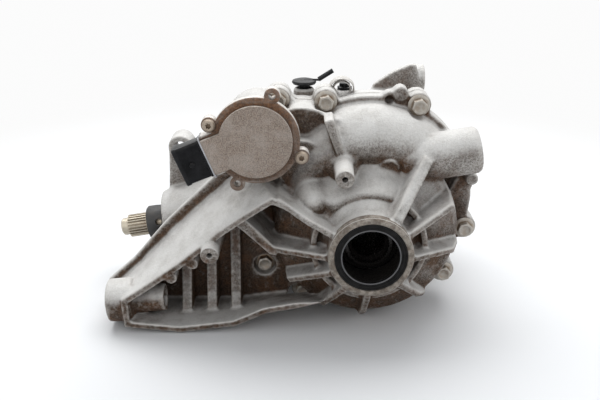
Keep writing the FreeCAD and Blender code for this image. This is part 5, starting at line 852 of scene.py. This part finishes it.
# %% Turned ring and seal
ring_outline = rounded([(0.0075, 0.0299), (-0.0006, 0.0299), (-0.0015, 0.0307), (-0.0015, 0.0328),
                        (-0.0002, 0.0346), (0.0012, 0.03515), (0.0075, 0.03515)], 0.0005)
add_piece("output_ring", lathe(ring_outline, (0, 0, 0), steps=128), "casing",
          bore_face_finish)
seal_outline = rounded([(0.0, 0.02985), (0.0, 0.0288), (0.0012, 0.0282), (0.0012, 0.0262), (0.0003, 0.0254),
                        (0.0003, 0.0244), (0.0018, 0.0236), (0.0045, 0.0237), (0.0050, 0.0262),
                        (0.0096, 0.0270), (0.0098, 0.02985)], 0.0004)
near_seal = add_piece("near_seal_rings", lathe(seal_outline, (0, 0, 0), steps=128), "casing",
                      seal_finish)
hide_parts("near_output_seal")


def wire_ring(radius, tube, station):
    """A ring of round wire about the output axis."""
    turns = [2 * math.pi * k / 12 for k in range(12)]
    outline = [(station + tube * math.sin(turn), radius + tube * math.cos(turn)) for turn in turns]
    return lathe(outline, (0, 0, 0), steps=128)


# A lighter metal-grey ring on the seal's lip: part wear, part painted glint.
add_piece("seal_lip_edge", wire_ring(0.0240, 0.0006, 0.0004), "casing", lip_glint_finish)
print("ring, seal and lip in place")

# %% Ends of the clip bosses
boss_outline = rounded([(0.0, 0.0025), (0.0, 0.0070), (0.0007, 0.0076), (0.0060, 0.0078), (0.0060, 0.0060),
                        (0.0130, 0.0040), (0.0130, 0.0025)], 0.0004)
boss_ends = [lathe(boss_outline, place, steps=48) for place in clip_bosses]
add_piece("clip_boss_ends", gathered(boss_ends), "casing", near_casting_finish)
print(len(boss_ends), "clip bosses")

# %% [markdown]
# ## Bolts and screws
# A flange bolt is a thin washer with a worn edge and a hexagon whose corners are cut by a cone. The
# rings of its head take the hexagon's radius or the cone's, whichever is smaller, and that draws the
# curved chamfer by itself.

# %% Flange bolts


def hexagon(across_corners, cone=math.inf):
    """Radius by angle of a hexagon, never more than the cone's radius."""
    flat = across_corners * math.cos(math.radians(30))

    def reach(angle):
        from_flat = (angle + math.pi / 6) % (math.pi / 3) - math.pi / 6
        return min(flat / math.cos(from_flat), cone)

    return reach


def flange_bolt(seat, corner=0.0069, flange=0.0095, height=0.008, shank=0.00396, length=0.0255):
    """Head towards -Y from its seat, threaded shank towards +Y."""
    pitch, thread_end = 0.0008, 0.009
    station = length - 0.001
    rings = [(length, shank * 0.7), (station, shank)]
    while station > thread_end:
        rings += [(station - pitch / 2, shank * 0.9), (station - pitch, shank)]
        station -= pitch
    rings += [(0.0, shank), (0.0, flange - 0.0003), (-0.0003, flange), (-0.0010, flange),
              (-0.0014, flange - 0.0004), (-0.0021, corner + 0.0005), (-0.0022, hexagon(corner)),
              (0.0009 - height, hexagon(corner))]
    for drop, cone in ((0.0006, 0.0002), (0.0003, 0.0005), (0.0, 0.0010)):
        rings.append((drop - height, hexagon(corner, corner - cone)))
    rings += [(-height, corner * 0.66), (0.0005 - height, corner * 0.58), (0.0007 - height, 0.0002)]
    return skin_rings([turned_ring(seat, (0, 1, 0), *ring) for ring in rings])


bolt_seat = 0.08
bolt_places = seats("cover_bolts", bolt_seat)
bolts = add_piece("flange_bolts", gathered([flange_bolt(place) for place in bolt_places]), "casing",
                  zinc_finish)
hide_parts("cover_bolts")
print(len(bolt_places), "flange bolts")

# %% Screws of the cover plate


def recess(angle):
    """A six-lobed key hole."""
    return 0.0021 + 0.0003 * math.cos(6 * angle)


def pan_screw(seat):
    """A low round head with a key hole, and its shank towards +Y."""
    rings = [(0.0095, 0.0018), (0.0090, 0.00245), (0.0, 0.00245), (0.0, 0.0050), (-0.0003, 0.0053),
             (-0.0009, 0.0053), (-0.0012, 0.0050), (-0.0024, 0.0045), (-0.0030, 0.0040), (-0.0032, 0.0034),
             (-0.0032, 0.0027), (-0.0030, recess), (-0.0010, recess), (-0.0009, 0.0001)]
    return skin_rings([turned_ring(seat, (0, 1, 0), *ring, 48) for ring in rings])


screw_seat = 0.024
screw_places = seats("actuator_screws", screw_seat)
screws = add_piece("cover_plate_screws", gathered([pan_screw(place) for place in screw_places]), "casing",
                   screw_finish)
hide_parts("actuator_screws")
print(len(screw_places), "cover screws")

# %% [markdown]
# ## Rounded copies
# Stamped and turned pieces keep the model's shape, but a real one has no knife edges. They are copied
# and every edge sharper than 35 degrees gets a small round, which catches the light.

# %% Rounded copies


def edge_rounded(node, width, body, finish):
    """A copy of a node with its sharp edges rounded, in place of the node."""
    mesh = own_mesh(node)
    work = bmesh.new()
    work.from_mesh(mesh)
    bmesh.ops.dissolve_limit(work, angle_limit=math.radians(1.0), verts=work.verts, edges=work.edges)
    work.to_mesh(mesh)
    work.free()
    piece = bpy.data.objects.new(f"{node}_rounded", mesh)
    bpy.context.scene.collection.objects.link(piece)
    bevel = piece.modifiers.new("round", "BEVEL")
    bevel.width = width
    bevel.segments = 2
    bevel.limit_method = "ANGLE"
    bevel.angle_limit = math.radians(35)
    settle(piece)
    mesh = piece.data
    bpy.data.objects.remove(piece)
    piece = add_piece(f"{node}_rounded", mesh, body, finish)
    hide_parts(node)


edge_rounded("actuator_cover", 0.0007, "casing", cover_finish)
edge_rounded("actuator_housing", 0.0008, "casing", can_finish)
edge_rounded("dust_shield", 0.0004, "pinion", guard_finish)
edge_rounded("breather", 0.0004, "casing", breather_finish)
print("rounded copies ready")

# %% [markdown]
# ## The plug
# The plug is a glossy black box with softly rounded long edges, a thicker lip at its mouth and one
# round peg on its face. A thin grey sealing lip shows where it enters the motor.

# %% Plug body
lean = math.radians(202.0)
plug_out = Vector((math.cos(lean), 0.0, math.sin(lean)))
plug_across = plug_out.cross(Vector((0, 1, 0)))
plug_points = np.array([vertex.co for vertex in nodes["actuator_connector"].data.vertices])
along = plug_points @ np.array(plug_out)
aside = plug_points @ np.array(plug_across)
plug_start, plug_end = along.min(), along.max()
plug_middle = (aside.min() + aside.max()) / 2
plug_half = (aside.max() - aside.min()) / 2
socket_depth, socket_wall = 0.015, 0.002
plug_front = 0.021
plug_deep = 0.017


def plug_ring(station, grow, corner):
    """A rounded rectangle across the plug; grow moves its sides out."""
    half, front, back = plug_half + grow, plug_front - grow, plug_front + plug_deep + grow
    outline = rounded([(-half, front), (half, front), (half, back), (-half, back)], corner, 5)
    return [plug_out * station + plug_across * (plug_middle + u) + Vector((0, v, 0)) for u, v in outline]


shell = [(plug_start, -0.0003, 0.002), (plug_start + 0.0006, 0.0, 0.0030),
         (plug_start + 0.0020, 0.0, 0.0030), (plug_start + 0.0026, -0.0006, 0.0030),
         (plug_end - 0.0042, -0.0006, 0.0030),
         (plug_end - 0.0034, 0.0, 0.0030), (plug_end - 0.0005, 0.0, 0.0028), (plug_end, -0.0005, 0.0024),
         (plug_end, -0.0013, 0.0018), (plug_end - 0.0004, -socket_wall, 0.0014),
         (plug_end - socket_depth, -socket_wall, 0.0014)]
plug_parts = [skin_rings([plug_ring(*ring) for ring in shell])]
peg_at = plug_out * (plug_start + 0.0125) + plug_across * (plug_middle + 0.001) + Vector((0, plug_front, 0))
plug_parts.append(lathe([(0.0010, 0.0024), (-0.0009, 0.0024), (-0.0014, 0.0020), (-0.0016, 0.0012)],
                        peg_at, (0, 1, 0), False, 32))
plug = add_piece("plug_body", gathered(plug_parts), "casing", plug_finish)
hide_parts("actuator_connector")
lip_rings = [(plug_start - 0.0012, 0.0006, 0.003), (plug_start - 0.0012, 0.0014, 0.003),
             (plug_start - 0.0002, 0.0014, 0.003), (plug_start - 0.0002, 0.0006, 0.003)]
add_piece("plug_sealing_lip", skin_rings([plug_ring(*ring) for ring in lip_rings], True), "casing",
          grey_rubber_finish)
print("plug", round(plug_end - plug_start, 4), "long")

# %% [markdown]
# ## Hood over the fitting, and the breather's collar
# Behind the joint a small cast hood arches over a dark, glassy fitting, and a cast collar stands round
# the breather's stem. The model's casting has neither, so both are pieces of their own. The hood is
# one arch, swept along y, and the collar is turned about the stem.

# %% Hood and collar
hood_x, hood_z = -0.0212, 0.1155
stem_x, stem_y = -0.054, 0.120


def arch_ring(station, outer, inner, foot):
    """The outline of an arch that stands on two feet, in x and z."""
    sweep = [math.radians(180 * k / 16) for k in range(17)]
    over = [(outer * math.cos(a), outer * 0.92 * math.sin(a)) for a in sweep]
    under = [(inner * math.cos(a), inner * 0.9 * math.sin(a)) for a in reversed(sweep)]
    outline = [(outer, -foot)] + over + [(-outer, -foot), (-inner, -foot)] + under + [(inner, -foot)]
    return [Vector((hood_x + u, station, hood_z + v)) for u, v in outline]


hood_rings = [(0.0955, 0.0098, 0.0078, 0.010), (0.0950, 0.0104, 0.0072, 0.010),
              (0.0960, 0.0109, 0.0070, 0.010), (0.1040, 0.0112, 0.0070, 0.012),
              (0.1056, 0.0108, 0.0073, 0.012), (0.1050, 0.0100, 0.0078, 0.012)]
add_piece("fitting_hood", skin_rings([arch_ring(*ring) for ring in hood_rings], True), "casing",
          far_casting_finish)
collar_outline = rounded([(0.090, 0.0068), (0.090, 0.0098), (0.1095, 0.0094), (0.1115, 0.0080),
                          (0.1115, 0.0068)], 0.0009)
add_piece("breather_collar", lathe(collar_outline, (stem_x, stem_y, 0), (0, 0, 1), steps=48), "casing",
          far_casting_finish)
print("hood and collar in place")

# %% [markdown]
# ## Finishes for the model's own pieces
# Pieces whose solids are already right keep their meshes. Each gets its finish by node, so that the
# inside looks as good as the outside when a cover is taken off.

# %% Dress the nodes
nodes_of = (
    (gasket_finish, "cover_gasket"),
    (zinc_finish, "fill_plug drain_plug pinion_nut"),
    (seal_finish, "far_output_seal pinion_seal"),
    (plug_finish, "top_fitting"),
    (iron_finish, "differential_case"),
    (dark_bolt_finish, "ring_gear_bolts"),
    (friction_finish, "friction_plates"),
    (magnet_finish, "motor_magnets"),
    (rotor_finish, "motor_rotor"),
    (spline_finish, "pinion_shaft"),
    (oily_shaded_bore_finish, "clutch_drum near_side_gear"),
    (bearing_finish, "thrust_bearing ramp_balls"),
    (brass_finish, "connector_pins side_gear_washers ramp_ball_cage"),
    (gear_finish, "ring_gear far_side_gear upper_spider_gear lower_spider_gear idler_gear"),
    (machined_finish, "dowel_sleeves steel_plates cross_pin pinion_spacer clutch_hub pressure_plate"),
    (machined_finish, "ramp_ring_turning ramp_ring_sliding ramp_guide_pins idler_pin"),
)
finish_of = {node: finish for finish, names in nodes_of for node in names.split()}
# The near carrier's bearing lies deep behind the seal; its near-black oily finish also paints the shade
# there.
for bearing in ("near_carrier", "far_carrier", "pinion_head", "pinion_tail"):
    for part in ("inner_race", "rollers", "outer_race"):
        finish_of[f"{bearing}_{part}"] = oily_shaded_bore_finish if bearing == "near_carrier" else bearing_finish
for node, finish in finish_of.items():
    for slot in nodes[node].material_slots:
        slot.material = finish
print(len(finish_of), "nodes dressed")
